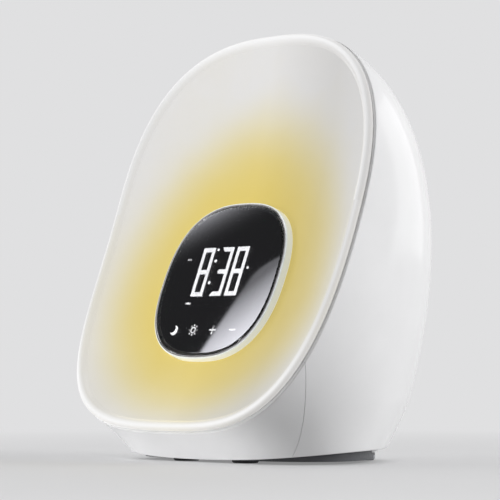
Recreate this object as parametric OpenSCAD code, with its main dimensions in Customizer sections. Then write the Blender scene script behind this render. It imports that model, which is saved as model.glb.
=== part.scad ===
// Sunrise alarm clock: a bedside lamp with a dished opal front and a display pod in its lower half.
// The origin is on the table under the middle of the clock. +Z is up and the face looks towards -Y.
// Pieces on the face are drawn in the face's own frame: x across, y up along the face, z out of it,
// with its origin on the lowest point of the dish, behind the middle of the display.

/* [Face] */
// Half width of the face at its widest
face_half_w = 83.3; // [80:0.1:87]
// Height of the face above its widest line
face_top = 85; // [82:0.5:88]
// Height of the face below its widest line
face_bottom = 107.6; // [105:0.1:110]
// Widest line above the middle of the display, along the face
face_rise = 32.8; // [31:0.1:35]
// Tilt of the face back from upright, in degrees
tilt = 23.1; // [21:0.1:25]
// How far the rim stands in front of the dish's bottom, 90 mm out to the side
dish_side = 9.2; // [7:0.1:11]
// How far the rim stands in front of the dish's bottom, 95 mm up or down
dish_up = 10.7; // [9:0.1:12]

/* [Housing] */
// Depth of the body behind the face
body_depth = 103; // [100:0.5:108]
// Wall of the housings
wall = 2.5; // [2:0.1:3]
// Middle of the display above the housing's bottom edge
face_height = 78.1; // [76:0.1:80]
// Middle of the display in front of the object's middle
face_forward = 19.4; // [18:0.1:20]
// Rise of the housing's bottom edge towards the back, in degrees
base_rise = 2.6; // [1.5:0.1:2.8]
// Radius of the bottom edge's bow from side to side
base_bow = 800; // [700:10:1200]
// How far the back draws in at the bottom, as a share
toe_in = 0.08; // [0.06:0.01:0.1]
// Height over which the back draws in
toe_h = 28; // [24:1:34]
// Lean of the joint between front and rear housing, in degrees
split_lean = 17; // [14:0.5:20]
// Joint between front and rear housing in front of the object's middle, at the bottom
split_forward = 30.2; // [29:0.1:32]

/* [Diffuser] */
// Wall of the diffuser
diffuser_t = 2.2; // [1.8:0.1:2.6]
// Height of the diffuser's rounded rim above the housing's edge
rim_h = 4.2; // [3.8:0.1:4.6]
// Shadow gap between the diffuser and the housing
shadow_gap = 0.9; // [0.7:0.1:1.1]

/* [Light tray] */
// Depth of the light tray's floor behind the dish's bottom
tray_depth = 12; // [11:0.5:13]
// Thickness of the tray's floor
tray_t = 2; // [1.6:0.1:2.4]
// Number of light emitters around the display pod
ring_leds = 16; // [12:1:18]

/* [Display pod] */
// Half width of the pod
pod_half_w = 39.4; // [38:0.1:41]
// Half height of the pod
pod_half_h = 38.4; // [37.5:0.1:40]
// Height of the pod's wall above the dish's bottom
pod_h = 5.8; // [5:0.1:6.6]
// Thickness of the display lens
lens_t = 2.1; // [1.8:0.1:2.4]
// Height of the digits
digit_h = 24; // [22:0.5:25]
// Width of a digit
digit_w = 7.7; // [7.2:0.1:8]
// Distance from one digit to the next
digit_pitch = 10.3; // [9.8:0.1:11]
// Distance between the touch symbols
icon_pitch = 13.2; // [12:0.1:14]
// Touch symbols below the middle of the display
icon_drop = 24.3; // [23.5:0.1:25]

/* [Base] */
// Height of the rubber feet below the housing
foot_h = 1.2; // [1:0.1:2]
// Diameter of a rubber foot
foot_d = 12; // [10:0.5:14]
// Thickness of the base plate
base_t = 3; // [2.8:0.1:3.4]
// Diameter of the speaker's opening
speaker_d = 44; // [40:1:46]
// Diameter of the backup cell
cell_d = 20; // [19:0.5:21]
// Width and length of the battery door
door_w = 30; // [28:0.5:32]
// How far the battery door slides
door_travel = 9; // [6:0.5:10]

/* [Rear panel] */
// Width of the rear control panel
panel_w = 66; // [64:1:67]
// Height of the rear control panel
panel_h = 32; // [31:0.5:33]
// Middle of the rear control panel above the table
panel_z = 62; // [61:0.5:64]
// Diameter of a rear button
button_d = 8; // [7:0.5:9]
// Distance from one rear button to the next
button_pitch = 15; // [14:0.5:16]
// How far a rear button can be pressed
button_travel = 0.4; // [0.3:0.05:0.45]
// Outer diameter of the plug that fits the power inlet
plug_d = 5.5; // [4:0.1:5.5]

/* [Screws] */
// Shank diameter of the screws
screw_d = 2.6; // [2.2:0.1:2.8]
// Head diameter of the screws
screw_head_d = 5.2; // [4.8:0.1:5.6]
// Clearance between parts that move or drop in
fit = 0.1; // [0.05:0.01:0.12]
// Clearance of a screw in its pilot hole
bite = 0.08; // [0.06:0.01:0.1]

/* [Hidden] */
$fn = 48;

// Roundness of the face's outline: higher is squarer
n_top = 2.53;
n_bottom = 3.55;
n_rear = 4.7;
// Shape of the body behind the face: how it closes, and how its sections sink
close_in = 2.04;
close_out = 1.89;
sink_1 = -0.07;
sink_2 = -0.0113;
toe_curve = 1.6;
toe_reach = 50;
steps = 72;
rear_angles = [88, 84, 79, 73, 66, 58, 50, 42, 34, 26, 19, 13, 8, 4, 0];

face_y = -face_forward;
face_z = foot_h + face_height;
split_y = -split_forward;
base_top = foot_h + base_t;

// Diffuser: the dish's bottom, and how much higher its surface is at the rim
dish_floor = 0.5;
dish_gain = 3;
// Rings of the dish as shares of the outline
dish_shares = [0.04, 0.2, 0.4, 0.6, 0.78, 0.92];
skirt_in = 2.7;
flange_in = 1.6;

tray_w = -tray_depth;
tray_back = tray_w - tray_t;

// Pod: its roundness, wall and the seats of the lens and its trim
pod_n = 2.56;
pod_wall = 3.2;
pod_lip = 0.5;
trim_t = 1;
lens_back = pod_h - 1.6;
lens_front = lens_back + lens_t;
mark_t = 0.3;
mark_back = lens_back - mark_t;
board_t = 1.6;
display_top = -0.4;
display_back = display_top - board_t;
boss_d = 6.4;
bezel_boss = [26, 24.6];
// Heads of the screws that hold the display's board
small_head_d = screw_head_d - 1;

led_board_half = [face_half_w - 29.3, 62];
led_board_up = 8;
led_board_hole = 2;
led_ring = [(pod_half_w + led_board_hole + led_board_half[0]) / 2, 46.5];
led_row_up = 61;
led_row_pitch = 18;
led_size = [3.5, 2.8, 1];

// Screw posts of the tray, set in from the face's side, top and bottom
tray_post = [[face_half_w - 33.3, face_rise + face_top - 55.8],
    [face_half_w - 25.3, face_rise - face_bottom + 49.8]];
post_d = 8;
pcb_half = [45, 35];
pcb_hole_in = 4;
pcb_front = tray_back - 8.4;
pcb_back = pcb_front - board_t;
ribbon_up = 16;
led_plug = [-40.5, 20];

upright_t = 1.65;
level_t = 2;
digit_slant = -1.7;
digit_up = 4.55;
colon_w = 2.4;
bar_gap = 0.14;

// Bosses for the base screws: height, and the direction and length of the rib to the wall
boss_front_h = 7;
boss_rear_h = 10;
boss_front_rib = [-90, 9.2];
boss_rear_rib = [37, 7];
rib_t = 3;
base_gap = 0.5;
base_rim_t = 1.6;
base_rim_h = 4;
speaker_flange_r = speaker_d / 2 + 7;
speaker_depth = 14.5;
bay_half = cell_d / 2 + 1;
bay_wall = 1.8;
bay_top = base_top + 5.2;
door_t = 1.7;
door_ceiling = foot_h + door_t + fit;
door_lip = 1.2;
door_lip_z = foot_h + 0.9;
cell_z = door_ceiling + 0.2;
cell_t = 3.2;

panel_out = 54.8;
panel_t = 2;
panel_in = panel_out - panel_t;
panel_rim = 3.5;
panel_board_out = panel_in - 6.4;
panel_board_in = panel_board_out - board_t;
button_z = panel_z + 6.5;
jack_z = panel_z - 8;
panel_post = panel_w / 2 - 5.5;
switch_h = 4;
jack_r = 4.4;

// Places on the face's frame, carried over to the object's frame
function out_y(v, w) = face_y + v * sin(tilt) - w * cos(tilt);
function out_z(v, w) = face_z + v * cos(tilt) + w * sin(tilt);
function placed(p) = [p[0], out_y(p[1], p[2]), out_z(p[1], p[2])];

// Radius of a rounded-square outline at an angle
function squircle_r(phi, a, b, n) = 1 / pow(pow(abs(cos(phi)) / a, n) + pow(abs(sin(phi)) / b, n), 1 / n);
// Height of the dished reference surface
function lift(u, v) = dish_side * pow(u / 90, 2) + dish_up * pow(v / 95, 2);

// A point of the body, drawn in towards the middle where it is low and far back
function tucked(p) =
    let (
        y = out_y(p[1], p[2]),
        low = min(1, max(0, 1 - (out_z(p[1], p[2]) - foot_h) / toe_h)),
        back = min(1, max(0, (y - split_y) / toe_reach)),
        t = toe_in * pow(low, toe_curve) * back * back * (3 - 2 * back)
    ) [p[0] * (1 - t), p[1] - t * y * sin(tilt), p[2] + t * y * cos(tilt)];
// One point of the body's section at a depth, drawn in by off
function body_point(phi, depth, off) =
    let (
        f = depth / (body_depth - off),
        g = pow(1 - pow(f, close_in), 1 / close_out),
        up = sin(phi) >= 0,
        n = (up ? n_top : n_bottom) * (1 - f) + n_rear * f,
        r = g * squircle_r(phi, face_half_w - off, (up ? face_top : face_bottom) - off, n),
        u = r * cos(phi),
        v = face_rise + r * sin(phi) + sink_1 * depth + sink_2 * depth * depth
    ) tucked([u, v, lift(u, v) * (1 - f) - depth]);
function body_ring(depth, off) = [for (i = [0:steps - 1]) body_point(i * 360 / steps, depth, off)];
function body_rings(off) = [for (a = rear_angles) body_ring((body_depth - off) * sin(a), off)];

// A ring on the face: in from the outline, at a height over the dished surface, or a share of the outline
function face_ring(in, h, share = 1) = [for (i = [0:steps - 1])
    let (
        phi = i * 360 / steps,
        up = sin(phi) >= 0,
        b = (up ? face_top : face_bottom) - in,
        r = share * squircle_r(phi, face_half_w - in, b, up ? n_top : n_bottom),
        u = r * cos(phi),
        v = face_rise + r * sin(phi)
    ) [u, v, lift(u, v) + h]];
// A flat ring, in from the outline by its own amount at the sides, the top and the bottom
function flat_ring(in, w, share = 1) = [for (i = [0:steps - 1])
    let (
        phi = i * 360 / steps,
        up = sin(phi) >= 0,
        b = up ? face_top - in[1] : face_bottom - in[2],
        r = share * squircle_r(phi, face_half_w - in[0], b, up ? n_top : n_bottom)
    ) [r * cos(phi), face_rise + r * sin(phi), w]];
function mean(list) = list * [for (x = list) 1 / len(list)];
function reversed(list) = [for (i = [len(list) - 1:-1:0]) list[i]];

// Where a body section, drawn in by off, meets a level
function level_angle(depth, off, z, lo = -90, hi = 90, n = 20) =
    let (m = (lo + hi) / 2, p = body_point(m, depth, off))
    n == 0 ? m : out_z(p[1], p[2]) > z ? level_angle(depth, off, z, lo, m, n - 1)
    : level_angle(depth, off, z, m, hi, n - 1);
function level_depth(phi, off, z, lo, hi, n = 20) =
    let (m = (lo + hi) / 2, p = body_point(phi, m, off))
    n == 0 ? m : out_z(p[1], p[2]) > z ? level_depth(phi, off, z, m, hi, n - 1)
    : level_depth(phi, off, z, lo, m, n - 1);
function level_side(off, z, n = 30) =
    let (
        d0 = level_depth(-90, off, z, 0, body_depth / 2),
        d1 = level_depth(90, off, z, body_depth / 2, body_depth - off - 0.01)
    ) [for (i = [0:n])
        let (d = d0 + (d1 - d0) * (1 - cos(180 * i / n)) / 2, p = body_point(level_angle(d, off, z), d, off))
        [i == 0 || i == n ? 0 : p[0], out_y(p[1], p[2])]];
function level_outline(off, z) =
    let (side = level_side(off, z), n = len(side) - 1)
    concat(side, [for (i = [n - 1:-1:1]) [-side[i][0], side[i][1]]]);

// Inside of the housing's wall over the base plate, from front to back, and what stands along it
wall_side = level_side(wall, base_top);
base_boss_front = wall_side[4] + [-0.4, 7.7];
base_boss_rear = wall_side[20] + [-5.2, -0.5];
foot_front = wall_side[2] + [-5.4, 9.4];
foot_rear = wall_side[25] + [-6.8, -3.9];
speaker_at = [43.5 - wall_side[14][0], (base_boss_front[1] + base_boss_rear[1]) / 2 + 2];
bay_at = [wall_side[14][0] - 29.5, 4];

module on_face() translate([0, face_y, face_z]) rotate([90 - tilt, 0, 0]) children();
// Copies on both sides
module both() {
    children();
    mirror([1, 0, 0]) children();
}
module block(x, y, z) translate([x[0], y[0], z[0]]) cube([x[1] - x[0], y[1] - y[0], z[1] - z[0]]);
module disc(r, z) translate([0, 0, z[0]]) cylinder(r = r, h = z[1] - z[0]);
module ring(r_in, r_out, z) difference() {
    disc(r_out, z);
    disc(r_in, [z[0] - 1, z[1] + 1]);
}

// A closed skin over rings: the first ring is its back end, the last its front end
module skin(rings) {
    n = len(rings[0]);
    m = len(rings);
    first = m * n;
    last = first + 1;
    centres = [for (ring = [rings[0], rings[m - 1]]) [for (k = [0:2]) mean([for (p = ring) p[k]])]];
    polyhedron(
        points = concat([for (r = rings) each r], centres),
        faces = concat(
            [for (j = [0:n - 1]) [first, j, (j + 1) % n]],
            [for (i = [0:m - 2], j = [0:n - 1]) [i * n + j, (i + 1) * n + j, (i + 1) * n + (j + 1) % n]],
            [for (i = [0:m - 2], j = [0:n - 1]) [i * n + j, (i + 1) * n + (j + 1) % n, i * n + (j + 1) % n]],
            [for (j = [0:n - 1]) [last, (m - 1) * n + (j + 1) % n, (m - 1) * n + j]]
        ),
        convexity = 8
    );
}

module squircle(half_w, half_h, count) polygon([for (i = [0:count - 1])
    let (a = i * 360 / count, r = squircle_r(a, half_w, half_h, pod_n)) [r * cos(a), r * sin(a)]]);
module pod_outline(in) squircle(pod_half_w - in, pod_half_h - in, 96);
module pod_slab(in, w) translate([0, 0, w[0]]) linear_extrude(w[1] - w[0]) pod_outline(in);

// A screw along +z: its head's underside at the origin, its shank going down
module screw(length, head_h = 1.6, head_d = screw_head_d) {
    disc(head_d / 2, [0, head_h]);
    disc(screw_d / 2, [-length, 0.01]);
}
module at_four(p) for (sx = [-1, 1], sy = [-1, 1]) translate([sx * p[0], sy * p[1], 0]) children();

// A round lead through a list of points, mitred at its bends and square at its ends
lead_sides = 10;
function unit(a) = a / norm(a);
function lead_heading(points, i) = unit(
    (i > 0 ? unit(points[i] - points[i - 1]) : [0, 0, 0])
    + (i < len(points) - 1 ? unit(points[i + 1] - points[i]) : [0, 0, 0]));
function lead_ring(centre, heading, r) =
    let(side = unit(cross(heading, [0.9, 0.3, 0.2])), up = cross(side, heading))
    [for (k = [0:lead_sides - 1]) let(a = 360 * k / lead_sides) centre + r * (cos(a) * side + sin(a) * up)];
module lead(points, r)
    skin([for (i = [0:len(points) - 1]) lead_ring(points[i], lead_heading(points, i), r)]);

module body_shell() on_face() skin(concat(body_rings(0), reversed(body_rings(wall))));
// Longer than anything that a cut goes through
beyond = 300;
module behind_split() translate([0, split_y, foot_h]) rotate([split_lean, 0, 0])
    block([-beyond, beyond], [0, beyond], [-beyond, beyond]);
module ahead_of_split() translate([0, split_y, foot_h]) rotate([split_lean, 0, 0])
    block([-beyond, beyond], [-beyond, 0], [-beyond, beyond]);
module base_boss(at, height, rib) translate([at[0], at[1], base_top]) {
    disc(post_d / 2, [0, height]);
    rotate(rib[0]) block([0, rib[1]], [-rib_t / 2, rib_t / 2], [0, height]);
}
// What lies under the bottom edge, which rises to the back and bows up to the sides
module below_edge() translate([0, level_side(0, foot_h)[0][1], foot_h]) rotate([base_rise, 0, 0]) difference() {
    block([-beyond, beyond], [-beyond, beyond], [-beyond, beyond / 10]);
    translate([0, 0, base_bow]) rotate([-90, 0, 0])
        cylinder(r = base_bow, h = 3 * beyond, center = true, $fn = 720);
}

// Opal front: a shallow dish with a rounded rim and a hole for the display pod
module front_diffuser() color("ivory") on_face() difference() {
    skin(concat(
        [for (k = dish_shares) face_ring(0, dish_floor + dish_gain * pow(k, 4) - diffuser_t, k)],
        [face_ring(5.6, 0.8), face_ring(3.2, 1.7), face_ring(skirt_in, 1.5), face_ring(skirt_in, shadow_gap),
            face_ring(1.4, shadow_gap), face_ring(0.8, 1.2), face_ring(0.5, 2), face_ring(0.7, rim_h - 1.2),
            face_ring(1.4, rim_h - 0.4), face_ring(2.6, rim_h), face_ring(4, rim_h - 0.2),
            face_ring(4.7, rim_h - 0.7), face_ring(5.2, rim_h - 1.15)],
        [for (k = reversed(dish_shares)) face_ring(0, dish_floor + dish_gain * pow(k, 4), k)]
    ));
    pod_slab(-3 * fit, [-20, 20]);
}

// Wall of the display pod, standing on the light tray's floor
module display_bezel() color("whitesmoke") on_face() difference() {
    union() {
        difference() {
            pod_slab(0, [tray_w, pod_h]);
            pod_slab(pod_wall, [tray_w - 1, lens_back + 1]);
            pod_slab(pod_lip, [lens_back, pod_h + 1]);
        }
        at_four(bezel_boss) disc(boss_d / 2, [tray_w, display_back]);
    }
    at_four(bezel_boss) disc(screw_d / 2 + bite, [tray_w - 1, display_back + 1]);
}

module bezel_trim() color("silver") on_face() difference() {
    pod_slab(pod_lip, [lens_back, pod_h + 0.3]);
    pod_slab(pod_lip + trim_t, [lens_back - 1, pod_h + 1]);
}

module display_lens() color("black") on_face() pod_slab(pod_lip + trim_t + fit, [lens_back, lens_front]);

module display_module() color("dimgray") on_face()
    block([-29, 29], [digit_up - digit_h / 2 - 5.5, digit_up + digit_h / 2 + 3], [display_top, mark_back]);

// Bars of a digit, mitred where they meet: a top or bottom bar, an upright on one side, the middle bar
function end_bar(sy) =
    let (x = digit_w / 2 - bar_gap, y = digit_h / 2)
    [for (p = [[-x, y], [x, y], [x - upright_t, y - level_t], [upright_t - x, y - level_t]]) [p[0], sy * p[1]]];
function side_bar(sx, sy) =
    let (x = digit_w / 2, y = digit_h / 2 - bar_gap)
    [for (p = [[x, y], [x, bar_gap], [x - upright_t / 2, bar_gap], [x - upright_t, level_t / 2 + bar_gap],
        [x - upright_t, y - level_t]]) [sx * p[0], sy * p[1]]];
function middle_bar() =
    let (x = digit_w / 2 - bar_gap, y = level_t / 2)
    [[upright_t / 2 - x, 0], [upright_t - x, y], [x - upright_t, y], [x - upright_t / 2, 0],
        [x - upright_t, -y], [upright_t - x, -y]];
// Bars a to g of a digit, leaning with it
bars = [end_bar(1), side_bar(1, 1), side_bar(1, -1), end_bar(-1), side_bar(-1, -1), side_bar(-1, 1),
    middle_bar()];
module digit(lit) for (i = [0:6]) if (lit[i] == 1)
    polygon([for (p = bars[i]) [p[0] + p[1] * tan(digit_slant), p[1]]]);
eight = [1, 1, 1, 1, 1, 1, 1];
three = [1, 1, 1, 1, 0, 0, 1];
first_digit = -13.9;
second_digit = first_digit + digit_pitch + colon_w;

module display_segments() color("white") on_face() translate([0, digit_up, mark_back]) linear_extrude(mark_t) {
    translate([first_digit, 0]) digit(eight);
    translate([second_digit, 0]) digit(three);
    translate([second_digit + digit_pitch, 0]) digit(eight);
    for (y = [-5.4, 5.4]) translate([(first_digit + second_digit) / 2 + y * tan(digit_slant), y]) circle(0.75);
    // Small indicators: two bars, a dot over the colon and one beside the last digit
    translate([-26.2, 6.5]) square([2.5, 0.8], center = true);
    translate([-17.5, -15.6]) square([3.4, 0.8], center = true);
    for (p = [[-8.3, 11], [15.6, 1.5]]) translate(p) circle(0.6);
}

icon_shift = -1.1;
function icon_x(i) = icon_shift + (i - 1.5) * icon_pitch;
module moon() difference() {
    circle(2.4);
    translate([-1.3, 0.8]) circle(2);
}
module sun() {
    difference() {
        circle(1.6);
        circle(1.1);
    }
    for (a = [0:45:315]) rotate(a) translate([2, -0.3]) square([0.8, 0.6]);
}
module stroke(length) square([length, 0.7], center = true);

module touch_icons() color("white") on_face() translate([0, -icon_drop, mark_back]) linear_extrude(mark_t) {
    translate([icon_x(0), 0]) moon();
    translate([icon_x(1), 0]) sun();
    translate([icon_x(2), 0]) {
        stroke(4.3);
        rotate(90) stroke(4.3);
    }
    translate([icon_x(3), 0]) stroke(3.7);
}

spring_r = 2.4;
spring_wire = 0.8;
spring_turns = 4;
// Sensing springs behind the touch symbols: closed turns of flat wire held by a riser
module touch_springs() color("gold") on_face() for (i = [0:3]) translate([icon_x(i), -icon_drop, display_top]) {
    height = mark_back - display_top;
    for (k = [0:spring_turns - 1]) {
        z = k * (height - spring_wire) / (spring_turns - 1);
        ring(spring_r - spring_wire / 2, spring_r + spring_wire / 2, [z, z + spring_wire]);
    }
    block([spring_r - 0.3, spring_r + 0.3], [-0.5, 0.5], [0, height]);
}

module icon_leds() color("lightyellow") on_face() for (i = [0:3])
    translate([icon_x(i) - 1, -icon_drop - 0.6, display_top]) cube([2, 1.2, 0.8]);

module display_pcb() color("darkgreen") on_face() difference() {
    pod_slab(pod_wall + 2 * fit, [display_back, display_top]);
    at_four(bezel_boss) disc(screw_d / 2 + fit, [display_back - 1, display_top + 1]);
}

module display_screws() color("silver") on_face() at_four(bezel_boss)
    translate([0, 0, display_top]) screw(5, 1.2, small_head_d);

// White tray behind the diffuser: a flange on the housing's edge, sloping walls and a flat floor
floor_in = [16, 26, 14];
module reflector_tray() color("white") on_face() difference() {
    union() {
        skin([flat_ring(floor_in, tray_back, 0.05), flat_ring(floor_in, tray_back), face_ring(3.2, -2.5),
            face_ring(skirt_in + 0.4, 0.02), face_ring(flange_in, 0.02),
            face_ring(flange_in, shadow_gap - 0.04), face_ring(skirt_in + 0.4, shadow_gap - 0.04),
            face_ring(skirt_in + 0.45, 1.2), face_ring(4, 1.1),
            flat_ring(floor_in + [tray_t, tray_t, tray_t] * 0.8, tray_w),
            flat_ring(floor_in + [tray_t, tray_t, tray_t] * 0.8, tray_w, 0.05)]);
        at_four(pcb_half - [pcb_hole_in, pcb_hole_in]) disc(boss_d / 2, [pcb_front, tray_back + 0.5]);
    }
    at_four(pcb_half - [pcb_hole_in, pcb_hole_in]) disc(screw_d / 2 + bite, [pcb_front - 1, tray_back]);
    at_four(bezel_boss) disc(screw_d / 2 + fit, [tray_back - 1, tray_w + 1]);
    both() for (p = tray_post) translate(p) disc(screw_d / 2 + fit, [tray_back - 1, tray_w + 1]);
    block([-11, 11], [ribbon_up - 1.2, ribbon_up + 1.2], [tray_back - 1, tray_w + 1]);
    translate(led_plug) disc(2.6, [tray_back - 1, tray_w + 1]);
}

module led_board() color("ghostwhite") on_face() difference() {
    translate([0, led_board_up, tray_w]) linear_extrude(board_t)
        squircle(led_board_half[0], led_board_half[1], 72);
    pod_slab(-led_board_hole, [tray_w - 1, tray_w + 3]);
}

module emitter(at, turn) translate([at[0], at[1], tray_w + board_t]) rotate(turn)
    translate([-led_size[0] / 2, -led_size[1] / 2, 0]) cube(led_size);
module led_emitters() color("khaki") on_face() {
    for (i = [0:ring_leds - 1]) {
        a = (i + 0.5) * 360 / ring_leds;
        r = squircle_r(a, led_ring[0], led_ring[1], pod_n);
        emitter([r * cos(a), r * sin(a)], a);
    }
    for (i = [-1:1]) emitter([i * led_row_pitch, led_row_up], 0);
}

module bezel_screws() color("silver") on_face() at_four(bezel_boss)
    translate([0, 0, tray_back]) mirror([0, 0, 1]) screw(7.5);

module tray_screws() color("silver") on_face() both() for (p = tray_post)
    translate([p[0], p[1], tray_w]) screw(10);

module main_pcb() color("darkgreen") on_face() difference() {
    block([-pcb_half[0], pcb_half[0]], [-pcb_half[1], pcb_half[1]], [pcb_back, pcb_front]);
    at_four(pcb_half - [pcb_hole_in, pcb_hole_in]) disc(screw_d / 2 + fit, [pcb_back - 1, pcb_front + 1]);
}

module main_pcb_screws() color("silver") on_face() at_four(pcb_half - [pcb_hole_in, pcb_hole_in])
    translate([0, 0, pcb_back]) mirror([0, 0, 1]) screw(6);

// A block on the back of the main board: middle, size and height
module on_board(at, size, h) block([at[0] - size[0] / 2, at[0] + size[0] / 2],
    [at[1] - size[1] / 2, at[1] + size[1] / 2], [pcb_back - h, pcb_back]);

module main_chips() color("black") on_face() {
    on_board([-6, 5], [14, 14], 1.4);
    on_board([-26, -10], [6, 5], 1.6);
    on_board([27, -2], [6.5, 6.1], 2.3);
    on_board([-29, 16], [11, 11], 2);
    on_board([6, 24], [10, 10], 5);
}

module power_capacitors() color("slategray") on_face()
    for (c = [[6, -18, 4, 12], [17, -18, 4, 12], [34, 12, 3.15, 8]])
        translate([c[0], c[1], 0]) disc(c[2], [pcb_back - c[3], pcb_back]);

speaker_plug = [-30, -26];
battery_plug = [33, -26];
panel_plug = [24, 25];
plug_size = [8, 5];
plug_h = 5;
module board_connectors() color("beige") on_face() {
    for (p = [speaker_plug, battery_plug, panel_plug]) on_board(p, plug_size, plug_h);
    block([led_plug[0] - 4, led_plug[0] + 4], [led_plug[1] - 2.5, led_plug[1] + 2.5],
        [pcb_front, pcb_front + 4]);
    block([-10, 10], [ribbon_up - 2, ribbon_up + 2], [pcb_front, pcb_front + 3]);
    block([-10, 10], [ribbon_up - 2, ribbon_up + 2], [display_back - 3, display_back]);
}

// Rear shell: everything behind the joint, with posts for the tray and bosses for the base
module rear_housing() color("white") difference() {
    union() {
        difference() {
            body_shell();
            ahead_of_split();
        }
        on_face() intersection() {
            skin(concat(body_rings(wall / 2), [face_ring(wall / 2, 0, 0.05)]));
            both() for (p = tray_post) translate(p) disc(post_d / 2, [-body_depth, tray_back]);
        }
        both() base_boss(base_boss_rear, boss_rear_h, boss_rear_rib);
    }
    below_edge();
    block([-panel_w / 2, panel_w / 2], [panel_in - 12, panel_out + 20],
        [panel_z - panel_h / 2, panel_z + panel_h / 2]);
    on_face() both() for (p = tray_post) translate(p) disc(screw_d / 2 + bite, [tray_back - 12, tray_back + 1]);
    both() translate(base_boss_rear) disc(screw_d / 2 + bite, [base_top - 1, base_top + boss_rear_h - 2]);
}

// Front shell below the diffuser
module front_housing() color("white") difference() {
    union() {
        difference() {
            body_shell();
            behind_split();
        }
        both() base_boss(base_boss_front, boss_front_h, boss_front_rib);
    }
    below_edge();
    both() translate(base_boss_front) disc(screw_d / 2 + bite, [base_top - 1, base_top + boss_front_h - 1]);
}

module base_plate() color("gainsboro") difference() {
    union() {
        translate([0, 0, foot_h]) linear_extrude(base_t) polygon(level_outline(wall + base_gap, foot_h));
        // A rim inside the housing's edge, open at the bosses
        difference() {
            translate([0, 0, base_top - 1]) linear_extrude(base_rim_h + 1) difference() {
                polygon(level_outline(wall + base_gap, foot_h));
                polygon(level_outline(wall + base_gap + base_rim_t, foot_h));
            }
            both() for (p = [base_boss_front, base_boss_rear]) translate(p)
                disc(post_d / 2 + 3, [base_top, base_top + base_rim_h + 1]);
        }
        translate(bay_at) block([-bay_half - bay_wall, bay_half + bay_wall],
            [-bay_half - bay_wall, bay_half + bay_wall], [foot_h + 1, bay_top + bay_wall]);
    }
    // Battery bay and the door's recess, which is longer than the door by its travel
    translate(bay_at) {
        block([-bay_half, bay_half], [-bay_half, bay_half], [foot_h - 1, bay_top]);
        block([-door_w / 2 - fit, door_w / 2 + fit], [-door_w / 2 - fit - door_travel, door_w / 2 + fit],
            [foot_h - 1, door_ceiling]);
        block([-door_w / 2 - door_lip - fit, door_w / 2 + door_lip + fit],
            [-door_w / 2 - fit - door_travel, door_w / 2 + fit], [door_lip_z - fit, door_ceiling]);
        disc(1.6, [bay_top - 1, bay_top + 3]);
    }
    // Speaker slots
    translate(speaker_at) for (i = [-3:3]) {
        y = i * speaker_d / 8;
        half = sqrt(pow(speaker_d / 2 - 1.5, 2) - y * y);
        block([-half, half], [y - 1.2, y + 1.2], [foot_h - 1, base_top + 1]);
    }
    at_speaker_screws() disc(screw_d / 2 + bite, [base_top - 2, base_top + 1]);
    both() for (p = [base_boss_front, base_boss_rear]) translate(p) {
        disc(screw_d / 2 + fit, [foot_h - 1, base_top + 1]);
        disc(screw_head_d / 2 + 2 * fit, [foot_h - 1, foot_h + 1.7]);
    }
    both() for (p = [foot_front, foot_rear]) translate(p) disc(foot_d / 2, [foot_h - 1, foot_h + 0.6]);
}

module rubber_feet() color("dimgray") both() for (p = [foot_front, foot_rear])
    translate(p) {
        disc(foot_d / 2, [0.4, foot_h + 0.6]);
        disc(foot_d / 2 - 0.4, [0, 0.5]);
    }

module base_screws() color("silver") both() for (p = [base_boss_front, base_boss_rear])
    translate([p[0], p[1], foot_h + 1.7]) mirror([0, 0, 1]) screw(6.5);

module battery_door() color("gainsboro") translate(bay_at) difference() {
    union() {
        block([-door_w / 2, door_w / 2], [-door_w / 2, door_w / 2], [foot_h, foot_h + door_t]);
        block([-door_w / 2 - door_lip, door_w / 2 + door_lip], [-door_w / 2, door_w / 2],
            [door_lip_z, foot_h + door_t]);
    }
    // Finger grooves
    for (i = [0:3]) translate([0, -door_w / 2 + 2.5 + i * 1.8, foot_h])
        block([-6, 6], [0, 0.8], [-1, 0.5]);
}

module backup_cell() color("silver") translate(bay_at) union() {
    disc(cell_d / 2, [cell_z + 0.4, cell_z + cell_t]);
    disc(cell_d / 2 - 1.2, [cell_z, cell_z + 0.5]);
}

module cell_contacts() color("gold") translate(bay_at) {
    block([cell_d / 2, bay_half], [-3, 3], [cell_z + 0.6, bay_top - 0.5]);
    block([-4, 4], [-2, 2], [cell_z + cell_t, cell_z + cell_t + 0.4]);
    block([3.6, 4], [-2, 2], [cell_z + cell_t, bay_top]);
    block([-3, 4], [-2, 2], [bay_top - 0.4, bay_top]);
}

module at_speaker() translate([speaker_at[0], speaker_at[1], base_top]) children();
module at_speaker_screws() for (a = [45:90:315])
    translate(speaker_at) rotate(a) translate([speaker_d / 2 + 4.5, 0, 0]) rotate(-a) children();

module speaker_frame() color("darkgray") difference() {
    at_speaker() rotate_extrude() polygon([[speaker_d / 2, 0], [speaker_flange_r, 0], [speaker_flange_r, 1.5],
        [speaker_d / 2 + 1.5, 1.5], [18, 12], [18, speaker_depth], [6.5, speaker_depth],
        [6.5, speaker_depth - 1.5], [16, speaker_depth - 1.5], [16, 11.4], [speaker_d / 2, 1.4]]);
    at_speaker_screws() disc(screw_d / 2 + fit, [base_top - 1, base_top + 3]);
}

module speaker_cone() color("dimgray") at_speaker() rotate_extrude() polygon([[0, 5.2], [3, 5.6], [6, 7],
    [speaker_d / 2 - 3, 1], [speaker_d / 2, 0.6], [speaker_d / 2, 1.2], [speaker_d / 2 - 3, 1.7], [6.4, 8],
    [6.4, speaker_depth], [5.8, speaker_depth], [5.8, 7.6], [3, 6.2], [0, 5.8]]);

module speaker_magnet() color("black") at_speaker() disc(15, [speaker_depth, speaker_depth + 8]);

module speaker_screws() color("silver") at_speaker_screws() translate([0, 0, base_top + 1.5]) screw(3.2, 1.4);

module button_x(i) translate([(i - 1.5) * button_pitch, 0, button_z]) children();
// Solids along +y, from the inside out
module peg(r, y) translate([0, y[0], 0]) rotate([-90, 0, 0]) cylinder(r = r, h = y[1] - y[0]);

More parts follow.
